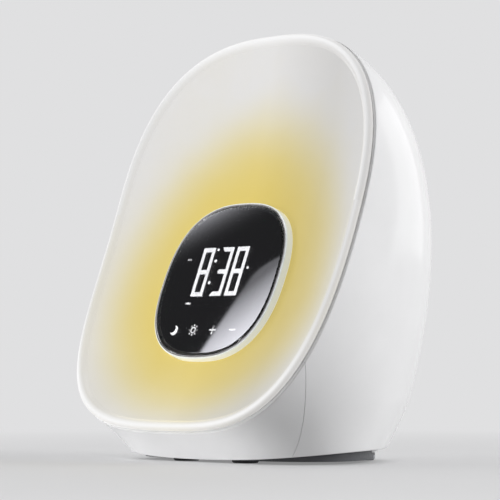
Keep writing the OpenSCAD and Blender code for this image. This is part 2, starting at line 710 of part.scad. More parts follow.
module rear_panel() color("whitesmoke") difference() {
    union() {
        block([-panel_w / 2, panel_w / 2], [panel_in - panel_rim, panel_out],
            [panel_z - panel_h / 2, panel_z + panel_h / 2]);
        block([-panel_w / 2 - 3, panel_w / 2 + 3], [panel_in - panel_rim, panel_in - 2],
            [panel_z - panel_h / 2 - 3, panel_z + panel_h / 2 + 3]);
    }
    difference() {
        block([-panel_w / 2 + 2, panel_w / 2 - 2], [panel_in - panel_rim - 1, panel_in],
            [panel_z - panel_h / 2 + 2, panel_z + panel_h / 2 - 2]);
        both() translate([panel_post, 0, jack_z]) peg(boss_d / 2, [panel_board_out, panel_out]);
    }
    both() translate([panel_post, 0, jack_z]) peg(screw_d / 2 + bite, [panel_board_out - 1, panel_in]);
    for (i = [0:3]) button_x(i) peg(button_d / 2 + fit, [panel_in - 1, panel_out + 1]);
    translate([0, 0, jack_z]) peg(jack_r + fit, [panel_in - 1, panel_out + 1]);
}

button_gap = switch_h + button_travel + fit;
// A rear button: cap, flange behind the panel, and a short stem towards its switch
module rear_button(i) color("gainsboro") button_x(i) {
    peg(button_d / 2, [panel_in - 1.2, panel_out + 1.2]);
    peg(button_d / 2 + 1.4, [panel_in - 1.2, panel_in - fit / 2]);
    peg(1.6, [panel_board_out + button_gap, panel_in - 1]);
}
module clock_button() rear_button(0);
module alarm_button() rear_button(1);
module sound_button() rear_button(2);
module volume_button() rear_button(3);

module button_board() color("darkgreen") difference() {
    block([-panel_w / 2 + 3, panel_w / 2 - 3], [panel_board_in, panel_board_out],
        [panel_z - panel_h / 2 + 2.5, panel_z + panel_h / 2 - 2.5]);
    both() translate([panel_post, 0, jack_z]) peg(screw_d / 2 + fit, [panel_board_in - 1, panel_board_out + 1]);
}

module tact_switches() color("black") for (i = [0:3]) button_x(i) {
    block([-3, 3], [panel_board_out, panel_board_out + switch_h - 0.5], [-3, 3]);
    peg(1.7, [panel_board_out, panel_board_out + switch_h]);
}

module panel_screws() color("silver") both() translate([panel_post, panel_board_in, jack_z])
    rotate([90, 0, 0]) screw(7);

module dc_jack() color("black") translate([0, 0, jack_z]) difference() {
    union() {
        block([-5.5, 5.5], [panel_board_out, panel_in], [-5.5, 5.5]);
        peg(jack_r, [panel_in - 1, panel_out]);
    }
    difference() {
        peg(plug_d / 2 + fit, [panel_board_out + 2, panel_out + 1]);
        peg(1, [panel_board_out + 1, panel_out - 1]);
    }
}

module display_ribbon() color("orange") on_face()
    block([-9, 9], [ribbon_up - 0.2, ribbon_up + 0.2], [pcb_front + 3, display_back - 3]);

module led_lead() color("red") on_face() for (x = [-1, 1])
    translate([led_plug[0] + x, led_plug[1], 0]) disc(0.6, [pcb_front + 4, tray_w], $fn = 16);

// Leads to the plugs on the back of the main board. Each starts and ends square to its seat.
lead_r = 0.9;
function plug_side(plug, out) = placed([plug[0], plug[1] - plug_size[1] / 2 - out, pcb_back - plug_h / 2]);
speaker_tag = [speaker_at[0], speaker_at[1] - 16.9, base_top + speaker_depth];
panel_tag = [0, panel_board_in, panel_z + 2];
module speaker_lead() color("red") lead([speaker_tag, speaker_tag + [0, 0, 7.3], speaker_tag + [-4, 4.4, 14.3],
    plug_side(speaker_plug, 4), plug_side(speaker_plug, 0)], lead_r);
module battery_lead() color("red") lead([[bay_at[0], bay_at[1], bay_top],
    [bay_at[0], bay_at[1], bay_top + 7.6], [bay_at[0], bay_at[1] - 10, bay_top + 16.6],
    plug_side(battery_plug, 4), plug_side(battery_plug, 0)], lead_r);
module panel_lead() color("red") lead([panel_tag, panel_tag + [0, -4.8, 0], panel_tag + [8, -11.8, 8],
    placed([panel_plug[0], panel_plug[1], pcb_back - plug_h - 5]),
    placed([panel_plug[0], panel_plug[1], pcb_back - plug_h])], lead_r);

front_diffuser();
display_bezel();
bezel_trim();
display_lens();
display_module();
display_segments();
touch_icons();
touch_springs();
icon_leds();
display_pcb();
display_screws();
reflector_tray();
led_board();
led_emitters();
bezel_screws();
tray_screws();
main_pcb();
main_pcb_screws();
main_chips();
power_capacitors();
board_connectors();
rear_housing();
front_housing();
base_plate();
rubber_feet();
base_screws();
battery_door();
backup_cell();
cell_contacts();
speaker_frame();
speaker_cone();
speaker_magnet();
speaker_screws();
rear_panel();
clock_button();
alarm_button();
sound_button();
volume_button();
button_board();
tact_switches();
panel_screws();
dc_jack();
display_ribbon();
led_lead();
speaker_lead();
panel_lead();
battery_lead();
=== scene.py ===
"""Finished pieces of a sunrise alarm clock: a dished opal front and a display pod in a glossy rounded body.

Every length is in metres, in the frame of the loaded part: the origin on the table under the middle of
the clock, +Z up, the face towards -Y. Pieces on the face are drawn in the face's own frame: u across,
v up along the face and w out of it, from the middle of the display pod.
"""

from functools import reduce
from math import cos, pi, radians, sin

import bmesh
import bpy
import numpy as np
from bpy.props import FloatProperty, FloatVectorProperty, PointerProperty
from mathutils import Matrix, Vector


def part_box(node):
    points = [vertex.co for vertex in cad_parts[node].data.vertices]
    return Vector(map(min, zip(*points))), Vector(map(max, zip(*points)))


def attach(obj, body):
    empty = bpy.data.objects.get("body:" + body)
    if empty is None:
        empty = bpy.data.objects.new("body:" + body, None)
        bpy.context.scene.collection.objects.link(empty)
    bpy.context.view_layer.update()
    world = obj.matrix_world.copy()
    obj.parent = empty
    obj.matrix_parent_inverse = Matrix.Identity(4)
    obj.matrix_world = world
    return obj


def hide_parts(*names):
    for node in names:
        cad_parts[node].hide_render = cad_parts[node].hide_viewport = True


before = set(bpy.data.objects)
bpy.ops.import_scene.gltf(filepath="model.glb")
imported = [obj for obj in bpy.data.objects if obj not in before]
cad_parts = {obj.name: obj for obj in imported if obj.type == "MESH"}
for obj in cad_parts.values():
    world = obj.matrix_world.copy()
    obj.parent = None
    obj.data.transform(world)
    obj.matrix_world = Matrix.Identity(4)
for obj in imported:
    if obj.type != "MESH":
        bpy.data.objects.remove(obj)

bl_info = {
    "name": "Sunrise Alarm Clock",
    "version": (1, 0, 0),
    "blender": (4, 5, 0),
    "location": "3D View > Sidebar > Clock",
    "description": "Builds the finished pieces of a sunrise alarm clock and the studio round it",
    "category": "Object",
}

MM = 0.001


# ---------------------------------------------------------------- settings


def length(name, description, mm):
    """A length that a user may change, given in millimetres and kept in metres."""
    return FloatProperty(
        name=name, description=description, default=mm * MM, min=0, unit="LENGTH", precision=5
    )


def angle(name, description, degrees):
    """An angle that a user may change, given in degrees."""
    return FloatProperty(name=name, description=description, default=radians(degrees), subtype="ANGLE")


def linear(red, green, blue):
    """A screen colour, 0 to 255 a channel, as linear light, by the usual sRGB curve."""
    share = np.array([red, green, blue]) / 255
    return tuple(np.where(share <= 0.04045, share / 12.92, ((share + 0.055) / 1.055) ** 2.4).tolist())


def colour(name, description, red, green, blue):
    """A colour that a user may change, given as a screen colour."""
    shade = linear(red, green, blue)
    return FloatVectorProperty(
        name=name, description=description, default=shade, min=0, max=1, size=3, subtype="COLOR"
    )


class ClockShape(bpy.types.PropertyGroup):
    """Driving sizes of the outer forms."""

    face_half_w: length("Face half width", "Half width of the face at its widest", 83.3)
    face_top: length("Face top", "Height of the face above its widest line", 84.99)
    face_bottom: length("Face bottom", "Height of the face below its widest line", 107.57)
    face_rise: length("Face rise", "Widest line above the middle of the display, along the face", 32.8)
    tilt: angle("Tilt", "Tilt of the face back from upright", 23.1)
    dish_side: length("Dish sideways", "Rim in front of the dish's bottom, 90 mm to the side", 9.2)
    dish_up: length("Dish upwards", "Rim in front of the dish's bottom, 95 mm up or down", 10.7)
    dish_floor: length("Dish floor", "Dish's surface in front of the pod's foot", 0.5)
    dish_gain: length("Dish gain", "How much higher the dish's surface is at the rim", 3)
    body_depth: length("Body depth", "Depth of the body behind the face", 102.92)
    wall: length("Housing wall", "Wall of the housings", 2.5)
    face_height: length("Face height", "Middle of the display above the housing's bottom edge", 78.1)
    face_forward: length("Face forward", "Middle of the display in front of the object's middle", 19.4)
    base_rise: angle("Base rise", "Rise of the housing's bottom edge towards the back", 2.6)
    base_bow: length("Base bow", "Radius of the bottom edge's bow from side to side", 800)
    toe_in: FloatProperty(name="Toe-in", description="How far the back draws in at the bottom", default=0.08)
    toe_h: length("Toe-in height", "Height over which the back draws in", 28)
    split_lean: angle("Joint lean", "Lean of the joint between front and rear housing", 17)
    split_forward: length("Joint forward", "Joint in front of the middle, at the bottom", 30.2)
    split_gap: length("Joint gap", "Fine gap between front and rear housing", 0.24)
    lip_round: length("Lip rounding", "Rounding of the housing's front lip", 0.5)
    foot_round: length("Bottom rounding", "Rounding of the housing's bottom edge", 0.7)
    foot_h: length("Foot height", "Height of the rubber feet below the housing", 1.2)
    diffuser_t: length("Diffuser wall", "Wall of the diffuser", 2.2)
    pod_half_w: length("Pod half width", "Half width of the display pod", 39.4)
    pod_half_h: length("Pod half height", "Half height of the display pod", 38.4)
    pod_h: length("Pod height", "Height of the pod's wall above the dish's bottom", 5.8)
    pod_wall: length("Pod wall", "Thickness of the pod's wall", 3.2)
    tray_depth: length("Tray depth", "Depth of the light tray's floor behind the dish's bottom", 12)
    lens_t: length("Lens", "Thickness of the display lens", 2.1)


class ClockFinish(bpy.types.PropertyGroup):
    """Colours and gloss of the visible finishes."""

    opal_cold: colour("Opal, unlit", "Diffuser away from the light", 226, 225, 224)
    opal_warm: colour("Opal, lit", "Diffuser in front of the light", 224, 202, 112)
    # The opal's own light is partly the lamp behind it and partly painted light that evens out the shading
    # the studio lamps give the front.
    opal_lamp_and_painted_light: FloatProperty(
        name="Opal light", description="Own light's share of the front's brightness", default=0.74, max=1
    )
    shell: colour("Shell", "Glossy housing", 236, 236, 237)
    pod: colour("Pod wall", "Satin wall of the display pod", 238, 234, 222)
    # The base plate's dark grey is painted shade: it stands in for the shadow under the housing's bottom
    # edge.
    base: colour("Base", "Recessed base plate", 74, 75, 78)
    rubber: colour("Rubber", "Feet", 36, 36, 38)
    marks: colour("Lit marks", "Digits and touch symbols", 255, 255, 255)
    marks_power: FloatProperty(name="Marks' power", description="Strength of the lit marks", default=22)


class ClockStudio(bpy.types.PropertyGroup):
    """Camera and lights."""

    camera_from: FloatVectorProperty(
        name="Camera",
        description="Where the camera stands",
        default=(0.90556, -0.82166, 0.0448),
        unit="LENGTH",
    )
    camera_at: FloatVectorProperty(
        name="Aim",
        description="What the camera looks at",
        default=(0.01456, -0.0194, 0.0948),
        unit="LENGTH",
    )
    lens_mm: FloatProperty(name="Lens", description="Focal length in millimetres", default=192.9)
    fill: FloatProperty(name="Fill", description="Brightness of the surroundings", default=0.25)
    floor: colour("Floor", "Floor and background", 224, 224, 225)


# ---------------------------------------------------------------- the body's surface

# Roundness of the outlines: higher is squarer
N_TOP, N_BOTTOM, N_REAR, N_POD = 2.53, 3.55, 4.7, 2.56
# How the body closes behind the face, and how its sections sink with the depth and its square
CLOSE_IN, CLOSE_OUT = 2.04, 1.89
SINK_1, SINK_2 = -0.07, -11.3
# Where the dish's two depths are measured
DISH_REACH_SIDE, DISH_REACH_UP = 90 * MM, 95 * MM
# How sharply the toe-in fades with the height, and how far behind the joint it is full
TOE_CURVE, TOE_REACH = 1.6, 50 * MM


def squircle(phi, a, b, n):
    """Radius of a rounded-square outline at an angle."""
    return ((np.abs(np.cos(phi)) / a) ** n + (np.abs(np.sin(phi)) / b) ** n) ** (-1 / n)


def outline_radius(s, phi, inset=0.0):
    """Radius of the face's outline, drawn in by inset."""
    up = np.sin(phi) >= 0
    half_h = np.where(up, s.face_top, s.face_bottom) - inset
    return squircle(phi, s.face_half_w - inset, half_h, np.where(up, N_TOP, N_BOTTOM))


def lift(s, u, v):
    """Height of the dished reference surface."""
    return s.dish_side * (u / DISH_REACH_SIDE) ** 2 + s.dish_up * (v / DISH_REACH_UP) ** 2


def on_face(s, u, v, w):
    """Points of the face's own frame, in the object's frame."""
    y = -s.face_forward + v * sin(s.tilt) - w * cos(s.tilt)
    z = s.foot_h + s.face_height + v * cos(s.tilt) + w * sin(s.tilt)
    return np.stack(np.broadcast_arrays(u, y, z), -1)


def body_points(s, phi, depth, off=0.0):
    """Points of the body behind the face, at an angle of its section and a depth, drawn in by off."""
    f = depth / (s.body_depth - off)
    closing = np.clip(1 - f**CLOSE_IN, 0, None) ** (1 / CLOSE_OUT)
    up = np.sin(phi) >= 0
    n = np.where(up, N_TOP, N_BOTTOM) * (1 - f) + N_REAR * f
    r = closing * squircle(phi, s.face_half_w - off, np.where(up, s.face_top, s.face_bottom) - off, n)
    u = r * np.cos(phi)
    v = s.face_rise + r * np.sin(phi) + SINK_1 * depth + SINK_2 * depth**2
    p = on_face(s, u, v, lift(s, u, v) * (1 - f) - depth)
    low = np.clip(1 - (p[..., 2] - s.foot_h) / s.toe_h, 0, 1) ** TOE_CURVE
    back = np.clip((p[..., 1] + s.split_forward) / TOE_REACH, 0, 1)
    draw = s.toe_in * low * back * back * (3 - 2 * back)
    p[..., :2] *= (1 - draw)[..., None]
    return p


def above_edge(s, p, front_y):
    """Height of points over the surface that cuts the housing's bottom edge."""
    y, z = p[..., 1] - front_y, p[..., 2] - s.foot_h
    bow = s.base_bow - np.sqrt(s.base_bow**2 - p[..., 0] ** 2)
    return z * cos(s.base_rise) - y * sin(s.base_rise) - bow


def crossing(inside, low, high, rounds=40):
    """Where inside(value) turns false between low and high, for whole arrays."""
    for _ in range(rounds):
        middle = (low + high) / 2
        keep = inside(middle)
        low, high = np.where(keep, middle, low), np.where(keep, high, middle)
    return (low + high) / 2


# Fine steps in which a line's length is added up, and columns from the bottom round the right to the top
FINE_STEPS, HALF_COLUMNS = 1441, 145


def even_angles(line):
    """Angles from the bottom round the right to the top at which line(angles) is cut into even pieces."""
    fine = np.linspace(-pi / 2, pi / 2, FINE_STEPS)
    along = np.concatenate([[0], np.cumsum(np.linalg.norm(np.diff(line(fine), axis=0), axis=1))])
    return np.interp(np.linspace(0, along[-1], HALF_COLUMNS), along, fine)


def mirrored(half):
    """A whole turn of columns from the right half's, which start and end in the middle plane."""
    left = half[:, -2:0:-1].copy()
    left[..., 0] *= -1
    return np.concatenate([half, left], 1)


# ---------------------------------------------------------------- mesh helpers

# Faces that meet at more than this are creased, and points nearer than these are one: of a piece made here,
# and of a solid's loose triangles
SHARP = radians(38)
SAME_POINT, SAME_CORNER = 1e-7, 1e-6


def finish_mesh(bm, name, sharp=SHARP):
    """Turns a bmesh into a smooth-shaded object with creases where faces meet sharply."""
    mesh = bpy.data.meshes.new(name)
    bm.to_mesh(mesh)
    bm.free()
    mesh.shade_smooth()
    mesh.set_sharp_from_angle(angle=sharp)
    obj = bpy.data.objects.new(name, mesh)
    bpy.context.scene.collection.objects.link(obj)
    return obj


def sheet(bm, points, ring=True):
    """Adds a quad grid through rows of points that go round. With ring, the last row joins the first."""
    rows, columns = points.shape[:2]
    turns = rows if ring else rows - 1
    made = bmesh.ops.create_grid(bm, x_segments=columns, y_segments=turns, size=1)["verts"]
    order = sorted(made, key=lambda v: (round(v.co.y, 6), round(v.co.x, 6)))
    for i, vert in enumerate(order):
        row, column = divmod(i, columns + 1)
        vert.co = points[row % rows, column % columns]
    bmesh.ops.remove_doubles(bm, verts=order, dist=SAME_POINT)


def sheet_solid(name, points, sharp=SHARP, ring=True):
    """A solid whose skin is rows of points. Without ring, flat faces close its first and last row."""
    bm = bmesh.new()
    sheet(bm, points, ring)
    if not ring:
        bmesh.ops.holes_fill(bm, edges=[edge for edge in bm.edges if edge.is_boundary], sides=0)
    bmesh.ops.recalc_face_normals(bm, faces=bm.faces)
    return finish_mesh(bm, name, sharp)


def rounded(points, per_span):
    """A smooth line through points, with per_span steps between each two."""
    p = np.array(points)
    p = np.concatenate([[2 * p[0] - p[1]], p, [2 * p[-1] - p[-2]]])
    out = []
    for a, b, c, d in zip(p, p[1:], p[2:], p[3:]):
        square, cube = 2 * a - 5 * b + 4 * c - d, 3 * b - a - 3 * c + d
        for t in np.arange(per_span) / per_span:
            out.append((2 * b + (c - a) * t + square * t**2 + cube * t**3) / 2)
    out.append(p[-2])
    return np.array(out)


def arc(centre, radius, start, end, steps):
    """Points of an arc in a profile, angles in degrees."""
    turn = np.radians(np.linspace(start, end, steps + 1))
    return [(centre[0] + radius * cos(a), centre[1] + radius * sin(a)) for a in turn]


def ride_and_replace(obj, finish, nodes, body="clock"):
    """Gives a piece its finish, its body and the nodes that it stands for."""
    obj.data.materials.clear()
    obj.data.materials.append(finish.material)
    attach(obj, body)
    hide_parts(*nodes)


def repaint(node, finish):
    """Gives a piece of the frame its finish."""
    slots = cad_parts[node].data.materials
    slots.clear()
    slots.append(finish.material)


# ---------------------------------------------------------------- finishes


class Nodes:
    """A node tree, with short ways to add its nodes."""

    def __init__(self, tree):
        self.tree = tree
        self.tree.nodes.clear()

    def add(self, kind, **settings):
        """A node, with its own settings."""
        node = self.tree.nodes.new(kind)
        for key, value in settings.items():
            setattr(node, key, value)
        return node

    def put(self, node, key, value):
        """Sets an input of a node, or links an output to it."""
        if isinstance(value, bpy.types.NodeSocket):
            self.tree.links.new(value, node.inputs[key])
        else:
            node.inputs[key].default_value = value

    def math(self, operation, a, b=0.0, clamp=False):
        """One number from two."""
        node = self.add("ShaderNodeMath", operation=operation, use_clamp=clamp)
        self.put(node, 0, a)
        self.put(node, 1, b)
        return node.outputs[0]

    def plus(self, *numbers):
        """The sum of some numbers."""
        return reduce(lambda a, b: self.math("ADD", a, b), numbers)

    def times(self, *numbers):
        """The product of some numbers."""
        return reduce(lambda a, b: self.math("MULTIPLY", a, b), numbers)

    def along(self, place, direction):
        """How far a place lies along a direction."""
        node = self.add("ShaderNodeVectorMath", operation="DOT_PRODUCT")
        self.put(node, 0, place)
        self.put(node, 1, direction)
        return node.outputs["Value"]

    def spread(self, value, low, high, start=0.35, end=0.65, **settings):
        """Spreads a number from start..end to low..high."""
        node = self.add("ShaderNodeMapRange", **settings)
        keys = ("Value", "From Min", "From Max", "To Min", "To Max")
        for key, number in zip(keys, (value, start, end, low, high)):
            self.put(node, key, number)
        return node.outputs["Result"]

    def light(self, kind, shade, strength):
        """A surface (Emission) or surroundings (Background) that shine in one colour."""
        node = self.add(f"ShaderNode{kind}")
        self.put(node, "Color", (*shade, 1))
        self.put(node, "Strength", strength)
        return node.outputs[0]

    def mix(self, share, first, second):
        """One shader from two."""
        node = self.add("ShaderNodeMixShader")
        for key, value in enumerate((share, first, second)):
            self.put(node, key, value)
        return node.outputs[0]

    def seen_directly(self):
        """1 for what the camera, a mirror or clear glass shows, and 0 for what only lights other surfaces."""
        path = self.add("ShaderNodeLightPath").outputs
        beyond = self.math("MAXIMUM", path["Is Glossy Ray"], path["Is Transmission Ray"])
        return self.math("MAXIMUM", path["Is Camera Ray"], beyond)


class Finish(Nodes):
    """One procedural material on the piece's own coordinates."""

    def __init__(self, name):
        self.material = bpy.data.materials.new(name)
        self.material.use_nodes = True
        super().__init__(self.material.node_tree)
        self.shader = self.add("ShaderNodeBsdfPrincipled")
        self.output = self.add("ShaderNodeOutputMaterial")
        self.put(self.output, "Surface", self.shader.outputs["BSDF"])
        self.place = self.add("ShaderNodeTexCoord").outputs["Object"]

    def set(self, **values):
        """Sets or links inputs of the shader, such as base_color or coat_weight."""
        names = {key.lower().replace(" ", "_"): key for key in self.shader.inputs.keys()}
        for key, value in values.items():
            self.put(self.shader, names[key], value)
        return self

    def bump(self, height, distance):
        """Surface relief of so many metres."""
        node = self.add("ShaderNodeBump")
        self.put(node, "Height", height)
        self.put(node, "Distance", distance)
        self.put(node, "Strength", 1.0)
        self.put(self.shader, "Normal", node.outputs["Normal"])
        return self

    def dot(self, direction, start=0.0):
        """How far the surface lies along a direction, past a start."""
        return self.math("SUBTRACT", self.along(self.place, direction), start)

    def from_face(self, s, u=0.0, v=0.0, w=0.0):
        """How far the surface lies across and up from a place that is given in the face's own frame."""
        start = Vector(on_face(s, u, v, w).tolist())
        across, up = Vector((1, 0, 0)), Vector((0, sin(s.tilt), cos(s.tilt)))
        return self.dot(across, start.dot(across)), self.dot(up, start.dot(up))

    def outwards(self, places, reaches, power):
        """0 in the middle of a rounded square and 1 along its outline."""
        shares = [self.math("DIVIDE", self.math("ABSOLUTE", x), reach) for x, reach in zip(places, reaches)]
        return self.plus(*[self.math("POWER", share, power) for share in shares])

    def noise(self, scale, detail, stretch=(1, 1, 1), distortion=0.0):
        """Soft noise with so many cells a metre."""
        mapping = self.add("ShaderNodeMapping")
        self.put(mapping, "Vector", self.place)
        self.put(mapping, "Scale", stretch)
        node = self.add("ShaderNodeTexNoise")
        self.put(node, "Vector", mapping.outputs["Vector"])
        self.put(node, "Scale", scale)
        self.put(node, "Detail", detail)
        self.put(node, "Distortion", distortion)
        return node.outputs["Fac"]

    def varied(self, scale, detail, low, high):
        """A number that wanders between two."""
        return self.spread(self.noise(scale, detail), low, high)

    def mottled(self, scale, detail, first, second, distortion=0.0):
        """A colour that wanders between two."""
        return self.blend(self.spread(self.noise(scale, detail, distortion=distortion), 0, 1), first, second)

    def blend(self, share, first, second):
        """A colour between two."""
        node = self.add("ShaderNodeMix", data_type="RGBA")
        self.put(node, 0, share)
        for key, value in ((6, first), (7, second)):
            self.put(node, key, value if isinstance(value, bpy.types.NodeSocket) else (*value, 1))
        return node.outputs[2]

    def ramp(self, value, stops):
        """A colour from a number, by stops of (place, colour)."""
        node = self.add("ShaderNodeValToRGB")
        marks = node.color_ramp.elements
        while len(marks) < len(stops):
            marks.new(0.5)
        for mark, (place, shade) in zip(marks, stops):
            mark.position = place
            mark.color = (*shade, 1)
        self.put(node, "Fac", value)
        return node.outputs["Color"]


def scaled(shade, share):
    """A colour made darker or lighter."""
    return tuple(min(1.0, channel * share) for channel in shade)


# Where the warm light behind the dish is centred, how wide it reaches, and how fast it falls off
GLOW_AT = (1.2 * MM, -6.9 * MM)
GLOW_REACH_SIDE, GLOW_REACH_UP, GLOW_REACH_DOWN = 65.5 * MM, 78.8 * MM, 55.2 * MM
GLOW_FALL, GLOW_CLOUD = 6.0, 0.03
# The opal's colours between cold and warm are mixed as the eye sees them, at so many stops
GLOW_STOPS, GLOW_GAMMA = 5, 2.2

# The dish gives off more light on the left than on the right: both strengths, and the places between which
# one turns into the other
LEFT_LIGHT, RIGHT_LIGHT, LEFT_TO, RIGHT_FROM = 1.1, 0.81, 0, 48 * MM
# It is weaker towards the bottom: by how much, and between which heights from the glow's centre
LOW_LESS, LOW_FROM, LOW_TO = 0.1, -25 * MM, -60 * MM

# Light of the rounded rim, partly what its opal edge gathers from behind and partly a painted highlight, and
# the shares of the face's outline at which it starts, is full, begins to fade and ends
RIM_GLOW_AND_HIGHLIGHT = (0.64, 0.64, 0.645)
RIM_BAND = (0.86, 0.92, 0.94, 0.99)
# A painted highlight makes the rim brighter at its top and bottom: by how much, and between which heights
# from its middle
RIM_END_HIGHLIGHT, RIM_END_FROM, RIM_END_TO = 0.2, 50 * MM, 82 * MM


def rim_highlight_share(m, s):
    """How much a place belongs to the rim's lit middle, which carries its edge light and a painted highlight.
    """
    u, v = m.from_face(s, v=s.face_rise)
    lower = m.math("LESS_THAN", v, 0.0)
    power = m.spread(lower, N_TOP, N_BOTTOM, 0, 1)
    half_h = m.spread(lower, s.face_top, s.face_bottom, 0, 1)
    out = m.outwards((u, v), (s.face_half_w, half_h), power)
    start, full, fade, end = RIM_BAND
    return m.times(m.spread(out, 0, 1, start, full), m.spread(out, 1, 0, fade, end))


def opal_finish(s, f):
    """Opal plastic lit from behind: warm round the pod and white towards the rim, with painted light that
    evens out its shading and a painted highlight on its rim.
    """
    m = Finish("lit_opal")
    u, v = m.from_face(s, *GLOW_AT)
    above, below = m.math("MAXIMUM", v, 0.0), m.math("MINIMUM", v, 0.0)
    sides = ((u, GLOW_REACH_SIDE), (above, GLOW_REACH_UP), (below, GLOW_REACH_DOWN))
    shares = [m.math("DIVIDE", away, reach) for away, reach in sides]
    squares = m.plus(*[m.times(share, share) for share in shares])
    glow = m.math("POWER", 0.5, m.math("POWER", squares, GLOW_FALL / 2))
    glow = m.math("ADD", glow, m.varied(26, 3, -GLOW_CLOUD, GLOW_CLOUD), clamp=True)
    cold, warm = (np.array(shade) ** (1 / GLOW_GAMMA) for shade in (f.opal_cold, f.opal_warm))
    stops = [(k, ((1 - k) * cold + k * warm) ** GLOW_GAMMA) for k in np.linspace(0, 1, GLOW_STOPS)]
    # own is the opal's emission: partly the lamp behind it, partly painted light in place of the studio
    # lamps' shading.
    own = m.ramp(glow, [(k, scaled(shade, f.opal_lamp_and_painted_light)) for k, shade in stops])
    shown = m.ramp(glow, [(k, scaled(shade, 1 - f.opal_lamp_and_painted_light)) for k, shade in stops])
    rim = rim_highlight_share(m, s)
    lamp = m.spread(m.dot((1, 0, 0)), LEFT_LIGHT, RIGHT_LIGHT, LEFT_TO, RIGHT_FROM)
    lamp = m.math("SUBTRACT", lamp, m.spread(v, LOW_LESS, 0, LOW_TO, LOW_FROM))
    from_middle = m.math("ABSOLUTE", m.math("SUBTRACT", v, s.face_rise - GLOW_AT[1]))
    # Painted highlight: the rim's light grows towards its top and bottom.
    ends = m.spread(from_middle, 1, 1 + RIM_END_HIGHLIGHT, RIM_END_FROM, RIM_END_TO)
    m.set(
        base_color=shown,
        # The rim's emission is partly its opal edge's light and partly a painted highlight.
        emission_color=m.blend(rim, own, RIM_GLOW_AND_HIGHLIGHT),
        emission_strength=m.plus(lamp, m.times(m.math("SUBTRACT", ends, lamp), rim)),
        roughness=m.varied(900, 2, 0.17, 0.22),
        specular_ior_level=0.22,
        coat_weight=0.06,
        coat_roughness=0.08,
        subsurface_weight=0.12,
        subsurface_radius=(1.0, 0.8, 0.6),
        subsurface_scale=4 * MM,
    )
    return m.bump(m.noise(1400, 2), 0.004 * MM)


def gloss_finish(name, shade, roughness=0.1):
    """Glossy moulded plastic with a trace of orange peel."""
    m = Finish(name)
    m.set(
        base_color=m.mottled(35, 3, scaled(shade, 0.97), shade),
        roughness=m.varied(420, 3, roughness * 0.85, roughness * 1.25),
        coat_weight=0.35,
        coat_roughness=0.05,
    )
    return m.bump(m.noise(380, 2), 0.006 * MM)


def satin_finish(name, shade, roughness=0.4, grain=2600, relief=0.02 * MM):
    """Fine-grained moulded plastic."""
    m = Finish(name)
    m.set(
        base_color=m.mottled(60, 4, scaled(shade, 0.93), scaled(shade, 1.04)),
        roughness=m.varied(grain / 3, 3, roughness * 0.85, roughness * 1.15),
    )
    return m.bump(m.noise(grain, 2), relief)


# A painted cool glow on the pod's wall: colour, strength, and shares of the outline at which it is off and
# full
WALL_PAINTED_GLOW, WALL_POWER, WALL_IN, WALL_OUT = (0.66, 0.84, 1.0), 0.34, 0.94, 0.97


def glowing_wall_finish(s, shade):
    """Pale pod wall with a painted cool glow along its outer band."""
    m = Finish("pod_plastic")
    out = m.outwards(m.from_face(s), (s.pod_half_w, s.pod_half_h), N_POD)
    m.set(
        base_color=m.mottled(60, 4, scaled(shade, 0.96), shade),
        # Painted cool glow along the outer band of the wall.
        emission_color=(*WALL_PAINTED_GLOW, 1),
        emission_strength=m.spread(out, 0, WALL_POWER, WALL_IN, WALL_OUT),
        roughness=m.varied(900, 3, 0.26, 0.34),
        coat_weight=0.2,
    )
    return m.bump(m.noise(2600, 2), 0.01 * MM)


def chrome_finish():
    """Bright plated trim."""
    m = Finish("bright_trim")
    return m.set(
        base_color=m.mottled(200, 2, linear(205, 203, 205), linear(226, 226, 228)),
        metallic=1.0,
        roughness=m.varied(1500, 3, 0.1, 0.2),
    )


def lens_finish():
    """Smoked clear lens, through which the lit marks show."""
    m = Finish("smoked_lens")
    return m.set(
        base_color=m.mottled(40, 2, linear(60, 60, 61), linear(64, 64, 65)),
        transmission_weight=1.0,
        roughness=0.02,
        ior=1.5,
        coat_weight=0.2,
        coat_roughness=0.02,
    )


def lit_finish(name, shade, power, least=0.88):
    """Marks that give their own light, a little uneven as light guides are: least is the faintest share."""
    m = Finish(name)
    return m.set(
        base_color=m.mottled(300, 2, scaled(shade, 0.9), shade),
        emission_color=m.mottled(240, 2, scaled(shade, least), shade),
        emission_strength=power,
        roughness=0.4,
    )


# The small bars beside and below the digits are fainter: left of the first place or below the second
FAINT_LEFT, FAINT_BELOW, FAINT_LESS = -20 * MM, -8.5 * MM, 0.62


def digit_finish(s, shade, power):
    """Lit digits, with fainter small bars beside them."""
    m = lit_finish("lit_digits", shade, power, 0.9)
    across, up = m.from_face(s)
    bars = m.math("MAXIMUM", m.math("LESS_THAN", across, FAINT_LEFT), m.math("LESS_THAN", up, FAINT_BELOW))
    return m.set(emission_strength=m.math("SUBTRACT", power, m.times(bars, power * FAINT_LESS)))


def metal_finish(name, shade, roughness=0.32, stretch=(1, 1, 30)):
    """Plated or rolled metal with fine drawn lines."""
    m = Finish(name)
    lines = m.noise(260, 4, stretch)
    m.set(
        base_color=m.blend(m.spread(lines, 0, 1), scaled(shade, 0.85), shade),
        metallic=1.0,
        roughness=m.spread(lines, roughness * 0.8, roughness * 1.25),
    )
    return m.bump(lines, 0.01 * MM)


# Tracks of a circuit board: how many a metre, and how wide they are as a share of that
TRACKS, TRACK_WIDTH = 160.0, 0.035


